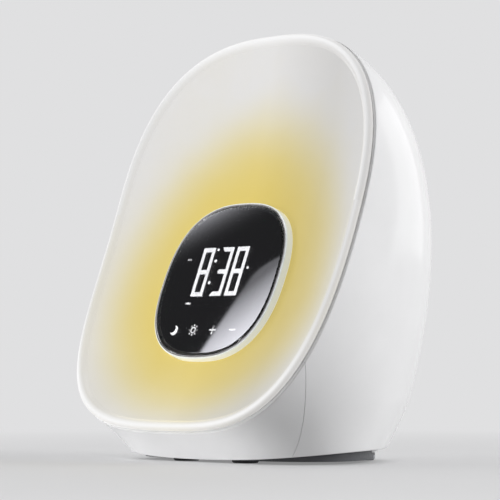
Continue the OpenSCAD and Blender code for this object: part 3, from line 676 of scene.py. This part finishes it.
def board_finish(name, mask, track):
    """Circuit board: lacquer over a pattern of tracks."""
    m = Finish(name)
    brick = m.add("ShaderNodeTexBrick")
    m.put(brick, "Vector", m.place)
    m.put(brick, "Scale", TRACKS)
    m.put(brick, "Mortar Size", TRACK_WIDTH)
    m.put(brick, "Color1", (1, 1, 1, 1))
    m.put(brick, "Color2", (0.8, 0.8, 0.8, 1))
    m.put(brick, "Mortar", (0, 0, 0, 1))
    lines = m.math("SUBTRACT", 1.0, brick.outputs["Color"], clamp=True)
    fade = m.times(lines, m.varied(90, 2, 0, 1))
    m.set(base_color=m.blend(fade, mask, track), roughness=0.35, coat_weight=0.4, coat_roughness=0.15)
    return m.bump(fade, 0.03 * MM)


def rubber_finish(shade):
    """Matt rubber with dust in its grain."""
    m = Finish("rubber")
    m.set(
        base_color=m.mottled(500, 5, shade, scaled(shade, 1.6)),
        roughness=m.varied(700, 3, 0.7, 0.9),
        specular_ior_level=0.3,
    )
    return m.bump(m.noise(2200, 3), 0.03 * MM)


def paper_finish():
    """Pressed fibrous paper of the speaker's cone."""
    m = Finish("cone_paper")
    m.set(
        base_color=m.mottled(700, 6, linear(38, 37, 36), linear(66, 64, 60), distortion=0.6),
        roughness=0.85,
        sheen_weight=0.2,
    )
    return m.bump(m.noise(1500, 4), 0.06 * MM)


def wire_finish(name, shade):
    """Soft sleeve of a lead."""
    m = Finish(name)
    m.set(
        base_color=m.mottled(400, 3, scaled(shade, 0.85), shade),
        roughness=m.varied(900, 2, 0.4, 0.55),
        coat_weight=0.1,
    )
    return m.bump(m.noise(1200, 2), 0.01 * MM)


# ---------------------------------------------------------------- pieces

# The shell's rows from lip to bottom edge, the rows of its inner wall, and the steps of its roundings
SHELL_ROWS, INNER_ROWS, ROUND_STEPS = 84, 20, 5
# How far round the bottom edge is looked for, and the outside's last share, which tells how long a share is
LAST_ANGLE, EDGE_SHARE = radians(89.5), 0.005


def shell_points(s):
    """Rows of points round the whole housing: front lip, outside, bottom edge and inside."""

    def depth_at(alpha, off):
        """Depth at an angle along the body's side: 0 at the face and a right angle at the back."""
        return (s.body_depth - off) * np.sin(alpha)

    def edge_alpha(phi, off):
        """The angle along the side at which the bottom edge cuts it."""

        def over(alpha):
            return above_edge(s, body_points(s, phi, depth_at(alpha, off), off), front_y) > 0

        return crossing(over, np.zeros_like(phi), np.full_like(phi, LAST_ANGLE))

    def lowest(alpha):
        """The side's point straight below the middle."""
        return body_points(s, np.array([-pi / 2]), depth_at(alpha, 0))

    front_alpha = crossing(lambda a: lowest(a)[..., 2] > s.foot_h, np.zeros(1), np.full(1, pi / 4))
    front_y = lowest(front_alpha)[0, 1]

    phi_lip = even_angles(lambda phi: body_points(s, phi, 0 * phi))
    phi_foot = even_angles(lambda phi: body_points(s, phi, depth_at(edge_alpha(phi, 0), 0)))
    end = edge_alpha(phi_foot, 0)
    edge = body_points(s, phi_foot, depth_at(end, 0))
    inner_end = edge_alpha(phi_foot, s.wall)
    inner_edge = body_points(s, phi_foot, depth_at(inner_end, s.wall), s.wall)

    def row(t, last, off):
        """Points at a share of the way from the face to each column's last angle."""
        return body_points(s, phi_lip + (phi_foot - phi_lip) * t, depth_at(last * t, off), off)

    # The outside stops short of the bottom edge by its rounding, and starts below the lip's
    reach = np.linalg.norm(edge - row(1 - EDGE_SHARE, end, 0), axis=-1) / EDGE_SHARE
    stop = 1 - s.foot_round / reach
    start = np.arcsin(s.lip_round / s.body_depth) / end
    rows = [row(0 * phi_lip, inner_end, s.wall)]
    for theta in np.linspace(0, pi / 2, ROUND_STEPS + 1)[:-1]:
        rows.append(body_points(s, phi_lip, s.lip_round * (1 - cos(theta)), s.lip_round * (1 - sin(theta))))
    for t in np.linspace(0, 1, SHELL_ROWS):
        rows.append(row(start + (stop - start) * t, end, 0))
    up = rows[-1] - edge
    inwards = inner_edge - edge
    inwards *= s.foot_round / np.linalg.norm(inwards, axis=-1)[:, None]
    for theta in np.linspace(0, pi / 2, ROUND_STEPS + 1)[1:]:
        rows.append(edge + up * (1 - sin(theta)) + inwards * (1 - cos(theta)))
    for t in np.linspace(1, 0, INNER_ROWS)[:-1]:
        rows.append(row(t, inner_end, s.wall))
    return mirrored(np.array(rows))


def cut_shell(name, points, s, keep_rear):
    """The part of the shell behind or ahead of the joint, closed along it."""
    bm = bmesh.new()
    sheet(bm, points)
    bmesh.ops.recalc_face_normals(bm, faces=bm.faces)
    normal = Vector((0, -cos(s.split_lean), -sin(s.split_lean)))
    if keep_rear:
        normal.negate()
    place = Vector((0, -s.split_forward, s.foot_h)) + normal * (s.split_gap / 2)
    whole = bm.verts[:] + bm.edges[:] + bm.faces[:]
    cut = bmesh.ops.bisect_plane(
        bm, geom=whole, dist=SAME_POINT, plane_co=place, plane_no=normal, clear_inner=True
    )["geom_cut"]
    bmesh.ops.holes_fill(bm, edges=[e for e in cut if isinstance(e, bmesh.types.BMEdge)], sides=0)
    bmesh.ops.recalc_face_normals(bm, faces=bm.faces)
    return finish_mesh(bm, name)


def box_mesh(bm, low, high):
    """A box between two corners."""
    made = bmesh.ops.create_cube(bm, size=1)["verts"]
    low, high = Vector(low), Vector(high)
    middle = Matrix.Translation((low + high) / 2) @ Matrix.Diagonal((*(high - low), 1))
    bmesh.ops.transform(bm, matrix=middle, verts=made)
    return made


# Screw bosses inside the bottom edge: outer and inner radius, wall over the screw's end, foot above the
# housing's edge, and steps round
BOSS_R, BOSS_BORE_R, BOSS_CAP, BOSS_FROM, BOSS_STEPS = 4 * MM, 1.38 * MM, 1.5 * MM, 3 * MM, 32
# Height of the front and the rear pair, and the direction and reach of the ribs that hold them
BOSSES = ((7 * MM, radians(-90), 9.2 * MM), (10 * MM, radians(37), 7 * MM))
# The rib's thickness, and how far it stays above the boss's foot and below its top
RIB_T, RIB_UP, RIB_DOWN = 3 * MM, 2.4 * MM, 0.3 * MM


def screw_places():
    """Middles of the front and the rear base screw on the right."""
    right = [v.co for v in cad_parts["base_screws"].data.vertices if v.co.x > 0]
    pairs = ([co for co in right if co.y < 0], [co for co in right if co.y > 0])
    return [[(min(co[i] for co in pair) + max(co[i] for co in pair)) / 2 for i in (0, 1)] for pair in pairs]


def add_bosses(obj, s, at, height, direction, reach):
    """Joins a pair of blind screw bosses with their ribs to a shell."""
    bm = bmesh.new()
    low = s.foot_h + BOSS_FROM
    top = low + height
    end = top - BOSS_CAP
    profile = [(0, top), (BOSS_R, top), (BOSS_R, low), (BOSS_BORE_R, low), (BOSS_BORE_R, end), (0, end)]
    made = [bm.verts.new((r, 0, z)) for r, z in profile]
    edges = [bm.edges.new(pair) for pair in zip(made, made[1:])]
    bmesh.ops.spin(
        bm, geom=made + edges, cent=(0, 0, 0), axis=(0, 0, 1), angle=2 * pi, steps=BOSS_STEPS, use_merge=True
    )
    bmesh.ops.remove_doubles(bm, verts=bm.verts, dist=SAME_CORNER)
    start = (BOSS_R + BOSS_BORE_R) / 2
    rib = box_mesh(bm, (start, -RIB_T / 2, low + RIB_UP), (reach, RIB_T / 2, top - RIB_DOWN))
    bmesh.ops.rotate(bm, cent=(0, 0, 0), matrix=Matrix.Rotation(direction, 3, "Z"), verts=rib)
    bmesh.ops.translate(bm, vec=(*at, 0), verts=bm.verts)
    bmesh.ops.mirror(bm, geom=bm.verts[:] + bm.edges[:] + bm.faces[:], merge_dist=0, axis="X")
    bm.from_mesh(obj.data)
    bmesh.ops.recalc_face_normals(bm, faces=bm.faces)
    bm.to_mesh(obj.data)
    bm.free()


def carve(obj, cutter):
    """Cuts one mesh out of another for good."""
    cut = obj.modifiers.new("cut", "BOOLEAN")
    cut.operation = "DIFFERENCE"
    cut.solver = "EXACT"
    cut.object = cutter
    done = bpy.data.meshes.new_from_object(obj.evaluated_get(bpy.context.evaluated_depsgraph_get()))
    obj.modifiers.clear()
    obj.data = done
    bpy.data.objects.remove(cutter)


# The diffuser's rim from the dish to the back, and the skirt behind it: how far each point lies in from the
# outline and over the dished surface, in millimetres
RIM_INNER = [(5.2, 3.05), (4.7, 3.5), (4, 4), (2.6, 4.2)]
RIM_OUTER = [(1.4, 3.8), (0.7, 3), (0.5, 2), (0.8, 1.2), (1.4, 0.9)]
SKIRT = [(2.7, 0.9), (2.7, 1.5), (3.2, 1.7), (5.6, 0.8)]
# Steps between two points of the rim, rows of the dish, and rows of its back
RIM_SPAN, DISH_ROWS, DISH_BACK_ROWS = 4, 44, 12
# Gap between the pod and its hole, where the dish ends inside the outline, and the rounding of the hole's
# edge with its angles
POD_GAP, DISH_EDGE = 0.3 * MM, 5.35 * MM
HOLE_ROUND, HOLE_TURNS = 0.25 * MM, (0.5, 1.0)
# Faces of the opal that meet at more than this are creased
OPAL_SHARP = radians(30)


def dish_height(s, u, v):
    """Height of the dish's front surface."""
    share = np.hypot(u, v - s.face_rise) / outline_radius(s, np.arctan2(v - s.face_rise, u))
    return lift(s, u, v) + s.dish_floor + s.dish_gain * share**4


def diffuser_points(s):
    """Rows of points round the diffuser: dish, rim, skirt, back and the pod's hole."""
    phi = even_angles(lambda angle: body_points(s, angle, 0 * angle))

    def face_ring(inset, height):
        """A ring inside the face's outline, in the face's own frame."""
        r = outline_radius(s, phi, inset)
        u, v = r * np.cos(phi), s.face_rise + r * np.sin(phi)
        return u, v, lift(s, u, v) + height

    outer_u, outer_v, _ = face_ring(DISH_EDGE, 0)
    turn = np.arctan2(outer_v, outer_u)
    hole = squircle(turn, s.pod_half_w + POD_GAP, s.pod_half_h + POD_GAP, N_POD)
    span = np.hypot(outer_u, outer_v) - hole

    def dish_row(t, drop):
        """A ring at a share of the way from the pod's hole to the rim, so far under the dish's surface."""
        r = hole + span * t
        u, v = r * np.cos(turn), r * np.sin(turn)
        return on_face(s, u, v, dish_height(s, u, v) - drop)

    edge = HOLE_ROUND / span
    rows = [dish_row(0, HOLE_ROUND)]
    rows += [dish_row((1 - cos(turned)) * edge, HOLE_ROUND * (1 - sin(turned))) for turned in HOLE_TURNS]
    rows += [dish_row(edge + (1 - edge) * t, 0) for t in np.linspace(0, 1, DISH_ROWS)]
    for inset, height in (*rounded(RIM_INNER + RIM_OUTER, RIM_SPAN), *SKIRT):
        rows.append(on_face(s, *face_ring(inset * MM, height * MM)))
    rows += [dish_row(t, s.diffuser_t) for t in np.linspace(1, 0, DISH_BACK_ROWS + 1)[1:]]
    return mirrored(np.array(rows))


class CLOCK_OT_diffuser(bpy.types.Operator):
    """Build the opal front with its rounded rim"""

    bl_idname = "clock.diffuser"
    bl_label = "Diffuser"

    def execute(self, context):
        s, f = context.scene.clock_shape, context.scene.clock_finish
        obj = sheet_solid("opal_front", diffuser_points(s), OPAL_SHARP)
        ride_and_replace(obj, opal_finish(s, f), ["front_diffuser"])
        return {"FINISHED"}


# The opening behind the rear panel: in from the panel's edges, and how far it reaches ahead and behind
WINDOW_IN, WINDOW_AHEAD, WINDOW_BEHIND = 3 * MM, 14 * MM, 20 * MM


class CLOCK_OT_housing(bpy.types.Operator):
    """Build the glossy front and rear housing with the fine joint between them"""

    bl_idname = "clock.housing"
    bl_label = "Housing"

    def execute(self, context):
        s, f = context.scene.clock_shape, context.scene.clock_finish
        points = shell_points(s)
        gloss = gloss_finish("gloss_shell", f.shell)
        front = cut_shell("front_shell", points, s, keep_rear=False)
        rear = cut_shell("rear_shell", points, s, keep_rear=True)
        low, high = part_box("rear_panel")
        window = bmesh.new()
        box_mesh(
            window,
            (low.x + WINDOW_IN, high.y - WINDOW_AHEAD, low.z + WINDOW_IN),
            (high.x - WINDOW_IN, high.y + WINDOW_BEHIND, high.z - WINDOW_IN),
        )
        carve(rear, finish_mesh(window, "window"))
        for shell, place, boss in zip((front, rear), screw_places(), BOSSES):
            add_bosses(shell, s, place, *boss)
            shell.data.shade_smooth()
            shell.data.set_sharp_from_angle(angle=SHARP)
        ride_and_replace(front, gloss, ["front_housing"])
        ride_and_replace(rear, gloss, ["rear_housing"])
        return {"FINISHED"}


# The pod's lip outside the trim, the trim's width and its top above the wall, and the gap round the lens
POD_LIP, TRIM_T, TRIM_UP, LENS_GAP = 0.5 * MM, 1.0 * MM, 0.3 * MM, 0.1 * MM
# How far the lens's seat lies below the wall's top, and the roundings of the wall and the lens
LENS_SEAT_DOWN, WALL_ROUND, LENS_ROUND = 1.6 * MM, 0.45 * MM, 0.5 * MM
# Columns round the pod, and steps of the roundings of wall, trim and lens
POD_COLUMNS, WALL_STEPS, TRIM_STEPS, LENS_STEPS = 192, 5, 10, 6


def pod_loft(s, profile):
    """Rings of points along the pod's outline, from a profile of (in from the outline, height)."""
    turn = np.linspace(0, 2 * pi, POD_COLUMNS, endpoint=False)
    rings = []
    for inset, w in profile:
        r = squircle(turn, s.pod_half_w - inset, s.pod_half_h - inset, N_POD)
        rings.append(on_face(s, r * np.cos(turn), r * np.sin(turn), w))
    return np.array(rings)


class CLOCK_OT_pod(bpy.types.Operator):
    """Build the display pod: its wall, bright trim and smoked lens"""

    bl_idname = "clock.pod"
    bl_label = "Display pod"

    def execute(self, context):
        s, f = context.scene.clock_shape, context.scene.clock_finish
        seat = s.pod_h - LENS_SEAT_DOWN
        foot = -s.tray_depth
        rounding = arc((WALL_ROUND, s.pod_h - WALL_ROUND), WALL_ROUND, 180, 90, WALL_STEPS)
        wall = [(0, foot), (0, 0), *rounding, (POD_LIP, s.pod_h), (POD_LIP, seat)]
        wall += [(s.pod_wall, seat), (s.pod_wall, foot)]
        bezel = sheet_solid("pod_wall", pod_loft(s, wall))
        ride_and_replace(bezel, glowing_wall_finish(s, f.pod), ["display_bezel"])

        half = TRIM_T / 2
        rounding = arc((POD_LIP + half, s.pod_h + TRIM_UP - half), half, 180, 0, TRIM_STEPS)
        trim = [(POD_LIP, seat), *rounding, (POD_LIP + TRIM_T, seat)]
        ring = sheet_solid("trim_ring", pod_loft(s, trim))
        ride_and_replace(ring, chrome_finish(), ["bezel_trim"])

        edge = POD_LIP + TRIM_T + LENS_GAP
        face = seat + s.lens_t
        rounding = arc((edge + LENS_ROUND, face - LENS_ROUND), LENS_ROUND, 180, 90, LENS_STEPS)
        rows = [(edge + LENS_ROUND, seat), (edge, seat), *rounding, (edge + 2 * LENS_ROUND, face)]
        lens = sheet_solid("smoked_lens", pod_loft(s, rows), ring=False)
        ride_and_replace(lens, lens_finish(), ["display_lens"])
        mirror_screen(s, lens)
        return {"FINISHED"}


# Light of the touch symbols as a share of the digits'
SYMBOL_SHARE = 0.25


class CLOCK_OT_marks(bpy.types.Operator):
    """Light the digits and the touch symbols under the lens"""

    bl_idname = "clock.marks"
    bl_label = "Lit marks"

    def execute(self, context):
        s, f = context.scene.clock_shape, context.scene.clock_finish
        repaint("display_segments", digit_finish(s, f.marks, f.marks_power))
        repaint("touch_icons", lit_finish("lit_symbols", f.marks, f.marks_power * SYMBOL_SHARE))
        repaint("display_module", satin_finish("module_face", linear(30, 30, 33), 0.5))
        return {"FINISHED"}


# Faces of a solid that meet at less than this are one flat face
FLAT = radians(1)


def softened(name, node, width, finish, body="clock"):
    """A piece with the shape of a node and its sharp edges rounded, which stands for the node."""
    bm = bmesh.new()
    bm.from_mesh(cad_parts[node].data)
    bmesh.ops.remove_doubles(bm, verts=bm.verts, dist=SAME_CORNER)
    bmesh.ops.dissolve_limit(bm, angle_limit=FLAT, verts=bm.verts, edges=bm.edges)
    edges = [e for e in bm.edges if e.is_manifold and e.is_convex and e.calc_face_angle() > SHARP]
    bmesh.ops.bevel(
        bm, geom=edges, affect="EDGES", offset=width, segments=3, profile=0.5, material=-1, clamp_overlap=True
    )
    bmesh.ops.recalc_face_normals(bm, faces=bm.faces)
    ride_and_replace(finish_mesh(bm, name), finish, [node], body)


class CLOCK_OT_outside(bpy.types.Operator):
    """Round the edges of the rear panel, its buttons and inlet, the base, its door and its feet"""

    bl_idname = "clock.outside"
    bl_label = "Back and base"

    def execute(self, context):
        f = context.scene.clock_finish
        # The base and its door are dark grey as painted shade under the housing's edge.
        base = satin_finish("base_plastic_painted_shade", f.base, 0.5, 2200, 0.04 * MM)
        panel = satin_finish("panel_plastic", linear(212, 212, 214), 0.42, 2400, 0.03 * MM)
        key = satin_finish("key_plastic", linear(172, 173, 176), 0.32, 2800)
        black = satin_finish("jack_plastic", linear(28, 28, 30), 0.4, 4000)
        softened("panel_plate", "rear_panel", 0.3 * MM, panel)
        for use in ("clock", "alarm", "sound", "volume"):
            softened(f"{use}_cap", f"{use}_button", 0.4 * MM, key, f"{use}_key")
        softened("inlet", "dc_jack", 0.25 * MM, black)
        softened("base_floor", "base_plate", 0.3 * MM, base)
        softened("door_plate", "battery_door", 0.3 * MM, base, "door")
        softened("soft_feet", "rubber_feet", 0.4 * MM, rubber_finish(f.rubber))
        return {"FINISHED"}


class CLOCK_OT_insides(bpy.types.Operator):
    """Finish the pieces inside the clock"""

    bl_idname = "clock.insides"
    bl_label = "Inside"

    def execute(self, context):
        white = satin_finish("white_inner_plastic", linear(236, 236, 234), 0.5)
        green = board_finish("green_board", linear(22, 84, 48), linear(92, 150, 92))
        steel = metal_finish("zinc_steel", linear(190, 192, 196))
        spring = metal_finish("gilt_spring", linear(226, 186, 110), 0.25)
        black = satin_finish("black_epoxy", linear(28, 28, 30), 0.5, 4000)
        nylon = satin_finish("cream_nylon", linear(228, 222, 200), 0.45)
        wire = wire_finish("lead_sleeve", linear(190, 40, 34))
        finishes = {
            "touch_springs": metal_finish("dark_spring", linear(52, 52, 54), 0.4),
            "icon_leds": lit_finish("symbol_lamps", linear(255, 248, 232), 0.6),
            "display_pcb": green,
            "display_screws": steel,
            "reflector_tray": white,
            "led_board": board_finish("white_board", linear(236, 236, 232), linear(200, 202, 200)),
            "led_emitters": lit_finish("warm_lamps", linear(255, 214, 140), 1.5),
            "bezel_screws": steel,
            "tray_screws": steel,
            "main_pcb": green,
            "main_pcb_screws": steel,
            "main_chips": black,
            "power_capacitors": metal_finish("capacitor_can", linear(120, 128, 150), 0.4),
            "board_connectors": nylon,
            "base_screws": steel,
            "backup_cell": metal_finish("cell_steel", linear(214, 214, 218), 0.2, (1, 1, 1)),
            "cell_contacts": spring,
            "speaker_frame": metal_finish("pressed_steel", linear(150, 152, 156), 0.38, (1, 1, 1)),
            "speaker_cone": paper_finish(),
            "speaker_magnet": satin_finish("ferrite", linear(48, 48, 50), 0.6, 1600),
            "speaker_screws": steel,
            "button_board": green,
            "tact_switches": black,
            "panel_screws": steel,
            "display_ribbon": wire_finish("ribbon_film", linear(214, 150, 70)),
            "led_lead": wire,
            "speaker_lead": wire,
            "panel_lead": wire_finish("grey_sleeve", linear(150, 150, 152)),
            "battery_lead": wire_finish("black_sleeve", linear(34, 34, 36)),
        }
        for node, finish in finishes.items():
            repaint(node, finish)
        return {"FINISHED"}


# ---------------------------------------------------------------- studio

# The floor's half side, its squares along a side, and how far under the feet it lies
FLOOR_HALF, FLOOR_SQUARES, FLOOR_DOWN = 6, 8, 0.05 * MM
# How much of the floor that is seen is its own even light, beside the clock and far away, and both distances
FLOOR_NEAR_SHARE, FLOOR_FAR_SHARE = 0.3, 1.0
FLOOR_NEAR_AWAY, FLOOR_FAR_AWAY = 0.1, 0.55
# What the floor throws back on the clock: a pale card lies on the left, dark cloth on the right
FLOOR_DARK, FLOOR_PALE, FLOOR_LIGHT = (0.22, 0.22, 0.22), (0.87, 0.87, 0.87), 0.31
BOUNCE_PALE_TO, BOUNCE_DARK_FROM = 30 * MM, 90 * MM


def floor_finish(shade):
    """Pale studio paper that runs into the background, keeps the clock's shadow and is clear from below."""
    m = Finish("floor_paper")
    direct = m.seen_directly()
    left = m.spread(m.dot((1, 0, 0)), 0, 1, BOUNCE_DARK_FROM, BOUNCE_PALE_TO)
    paper = m.mottled(3, 3, scaled(shade, 0.985), shade)
    m.set(
        base_color=m.blend(direct, m.blend(left, FLOOR_DARK, FLOOR_PALE), paper),
        roughness=0.6,
        specular_ior_level=0.2,
        emission_color=(1, 1, 1, 1),
        emission_strength=m.times(left, FLOOR_LIGHT, m.math("SUBTRACT", 1.0, direct)),
    )
    away = m.add("ShaderNodeVectorMath", operation="LENGTH")
    m.put(away, 0, m.place)
    own = m.spread(
        away.outputs["Value"], FLOOR_FAR_SHARE, FLOOR_NEAR_SHARE, FLOOR_FAR_AWAY, FLOOR_NEAR_AWAY
    )
    top = m.mix(m.times(own, direct), m.shader.outputs[0], m.light("Emission", shade, 1))
    from_below = m.add("ShaderNodeNewGeometry").outputs["Backfacing"]
    clear = m.add("ShaderNodeBsdfTransparent").outputs[0]
    m.put(m.output, "Surface", m.mix(from_below, top, clear))
    return m


# Where the dark drape hangs, and how near to its middle it is clear of the light and fully dark
DRAPE_AT = (radians(-150), radians(30))
DRAPE_OUT, DRAPE_IN, DRAPE_DARK = 0.62, 0.9, 0.04


def drape(w):
    """Brightness of the background: 1, but a dark drape to the left for what glossy surfaces mirror."""
    near = w.along(w.add("ShaderNodeTexCoord").outputs["Generated"], around((0, 0, 0), *DRAPE_AT, 1))
    fade = w.spread(near, 1, DRAPE_DARK, DRAPE_OUT, DRAPE_IN, interpolation_type="SMOOTHSTEP")
    return w.math("MAXIMUM", fade, w.add("ShaderNodeLightPath").outputs["Is Camera Ray"])


# A dark screen with a light box beside it, for the lens to mirror: where its middle stands in the face's own
# frame, and half its side
SCREEN_AT = (-630 * MM, 241 * MM, 506 * MM)
SCREEN_HALF = 80 * MM
SCREEN_DARK, SCREEN_TINT = 0.2, (0.93, 0.93, 1.0)
# On the screen, p and q are millimetres to the right and up from its middle. The light box's edge: its p
# where q is 0, how it slants with q, how it bends away with q squared above the middle, and how soft it is
BOX_EDGE, BOX_SLANT, BOX_BEND, BOX_SOFT = 36, 0.5, 0.053, 2
# The box's light: what its slope gives in the screen's middle, how it grows along p and q, and its least
BOX_LIGHT, BOX_ALONG_P, BOX_ALONG_Q, BOX_LEAST = -5, 0.15, -0.2, 1.7
# The veil of light from above: its direction, where it starts, its light so far past the start, and how
# steeply it grows
VEIL_P, VEIL_Q, VEIL_START, VEIL_REACH, VEIL_LIGHT, VEIL_POWER = -0.4, 0.9, 24, 42, 4, 4.0


def mirror_screen(s, lens):
    """The screen and light box, which show in the lens alone."""
    bm = bmesh.new()
    across, up, out = SCREEN_AT
    for vert in bmesh.ops.create_grid(bm, x_segments=1, y_segments=1, size=SCREEN_HALF)["verts"]:
        vert.co = Vector(on_face(s, across + vert.co.x, up + vert.co.y, out).tolist())
    screen = finish_mesh(bm, "mirror_screen")
    m = Finish("mirror_screen")
    p, q = [m.math("DIVIDE", away, MM) for away in m.from_face(s, *SCREEN_AT)]

    def slope(along_p, along_q, start):
        """A number that grows evenly over the screen."""
        return m.plus(m.times(p, along_p), m.times(q, along_q), start)

    bend = m.times(m.math("POWER", m.math("MAXIMUM", q, 0.0), 2.0), BOX_BEND)
    past_edge = m.math("SUBTRACT", slope(1, -BOX_SLANT, -BOX_EDGE), bend)
    inside = m.spread(past_edge, 0, 1, -BOX_SOFT, BOX_SOFT)
    box = m.math("MAXIMUM", slope(BOX_ALONG_P, BOX_ALONG_Q, BOX_LIGHT), BOX_LEAST)
    past_start = m.math("MAXIMUM", slope(VEIL_P, VEIL_Q, -VEIL_START), 0.0)
    veil = m.times(m.math("POWER", m.math("DIVIDE", past_start, VEIL_REACH), VEIL_POWER), VEIL_LIGHT)
    total = m.plus(m.times(box, inside), veil, SCREEN_DARK)
    m.put(m.output, "Surface", m.light("Emission", SCREEN_TINT, total))
    screen.data.materials.append(m.material)
    for rays in ("camera", "diffuse", "transmission", "shadow"):
        setattr(screen, f"visible_{rays}", False)
    mirrors = bpy.data.collections.new("lens_only")
    mirrors.objects.link(lens)
    screen.light_linking.receiver_collection = mirrors


def around(centre, azimuth, elevation, away):
    """A place at a distance from a centre, in a direction."""
    x, y, z = centre
    level = away * cos(elevation)
    return (x + level * cos(azimuth), y + level * sin(azimuth), z + away * sin(elevation))


def stand(name, data, place, aim):
    """A lamp or camera at a place, turned to a point."""
    obj = bpy.data.objects.new(name, data)
    bpy.context.scene.collection.objects.link(obj)
    place = Vector(place)
    turn = (place - Vector(aim)).to_track_quat("Z", "Y")
    obj.matrix_world = Matrix.Translation(place) @ turn.to_matrix().to_4x4()
    return obj


# Soft light panels round a point above the floor, at a distance from it: name, azimuth and elevation in
# degrees, width and height, watts, and whether gloss shows them
LAMP_AIM, LAMP_AWAY = (0, 0, 0.1), 1.25
LAMPS = (
    ("right", 31, 10, (0.8, 0.8), 14, False),
    ("back_right", 72, 15, (0.6, 0.8), 0.95, True),
    ("front_left", -138, 8, (0.8, 0.6), 9, False),
    ("left", -173, 31, (0.8, 0.8), 2, True),
    ("overhead", 90, 86, (0.8, 0.8), 2.6, True),
)
# The camera's sensor in millimetres, and how far it sees in metres
SENSOR, VIEW_REACH = 36, 50


class CLOCK_OT_studio(bpy.types.Operator):
    """Set up the floor, the background, the lights and the camera"""

    bl_idname = "clock.studio"
    bl_label = "Studio"

    def execute(self, context):
        t = context.scene.clock_studio
        bm = bmesh.new()
        ground = bmesh.ops.create_grid(
            bm, x_segments=FLOOR_SQUARES, y_segments=FLOOR_SQUARES, size=FLOOR_HALF
        )["verts"]
        bmesh.ops.translate(bm, vec=(0, 0, -FLOOR_DOWN), verts=ground)
        floor = finish_mesh(bm, "floor")
        floor.data.materials.append(floor_finish(t.floor).material)

        world = bpy.data.worlds.new("studio")
        context.scene.world = world
        world.use_nodes = True
        w = Nodes(world.node_tree)
        fill = w.light("Background", (1, 1, 1), t.fill)
        shown = w.light("Background", t.floor, drape(w))
        w.put(w.add("ShaderNodeOutputWorld"), "Surface", w.mix(w.seen_directly(), fill, shown))

        for name, azimuth, elevation, size, watts, glossy in LAMPS:
            panel = bpy.data.lights.new(name, "AREA")
            panel.shape = "RECTANGLE"
            panel.size, panel.size_y = size
            panel.energy = watts
            place = around(LAMP_AIM, radians(azimuth), radians(elevation), LAMP_AWAY)
            stand(name, panel, place, LAMP_AIM).visible_glossy = glossy

        camera = bpy.data.cameras.new("camera")
        camera.sensor_width = SENSOR
        camera.lens = t.lens_mm
        camera.clip_end = VIEW_REACH
        context.scene.camera = stand("camera", camera, t.camera_from, t.camera_at)
        context.scene.view_settings.view_transform = "Standard"
        return {"FINISHED"}


STEPS = (
    CLOCK_OT_studio,
    CLOCK_OT_diffuser,
    CLOCK_OT_housing,
    CLOCK_OT_pod,
    CLOCK_OT_marks,
    CLOCK_OT_outside,
    CLOCK_OT_insides,
)


class CLOCK_PT_panel(bpy.types.Panel):
    """The clock's sizes, finishes and building steps"""

    bl_label = "Sunrise Alarm Clock"
    bl_idname = "CLOCK_PT_panel"
    bl_space_type = "VIEW_3D"
    bl_region_type = "UI"
    bl_category = "Clock"

    def draw(self, context):
        scene = context.scene
        for group in (scene.clock_shape, scene.clock_finish, scene.clock_studio):
            box = self.layout.box()
            for key in group.__annotations__:
                box.prop(group, key)
        for step in STEPS:
            self.layout.operator(step.bl_idname)


GROUPS = {"clock_shape": ClockShape, "clock_finish": ClockFinish, "clock_studio": ClockStudio}


def register():
    """Adds the settings, the steps and the panel."""
    for name, group in GROUPS.items():
        bpy.utils.register_class(group)
        setattr(bpy.types.Scene, name, PointerProperty(type=group))
    for step in (*STEPS, CLOCK_PT_panel):
        bpy.utils.register_class(step)


def unregister():
    """Takes the settings, the steps and the panel away again."""
    for step in (CLOCK_PT_panel, *reversed(STEPS)):
        bpy.utils.unregister_class(step)
    for name, group in reversed(GROUPS.items()):
        delattr(bpy.types.Scene, name)
        bpy.utils.unregister_class(group)


def main():
    """Builds every piece."""
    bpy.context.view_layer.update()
    register()
    for step in STEPS:
        module, name = step.bl_idname.split(".")
        getattr(getattr(bpy.ops, module), name)()


if __name__ == "__main__":
    main()
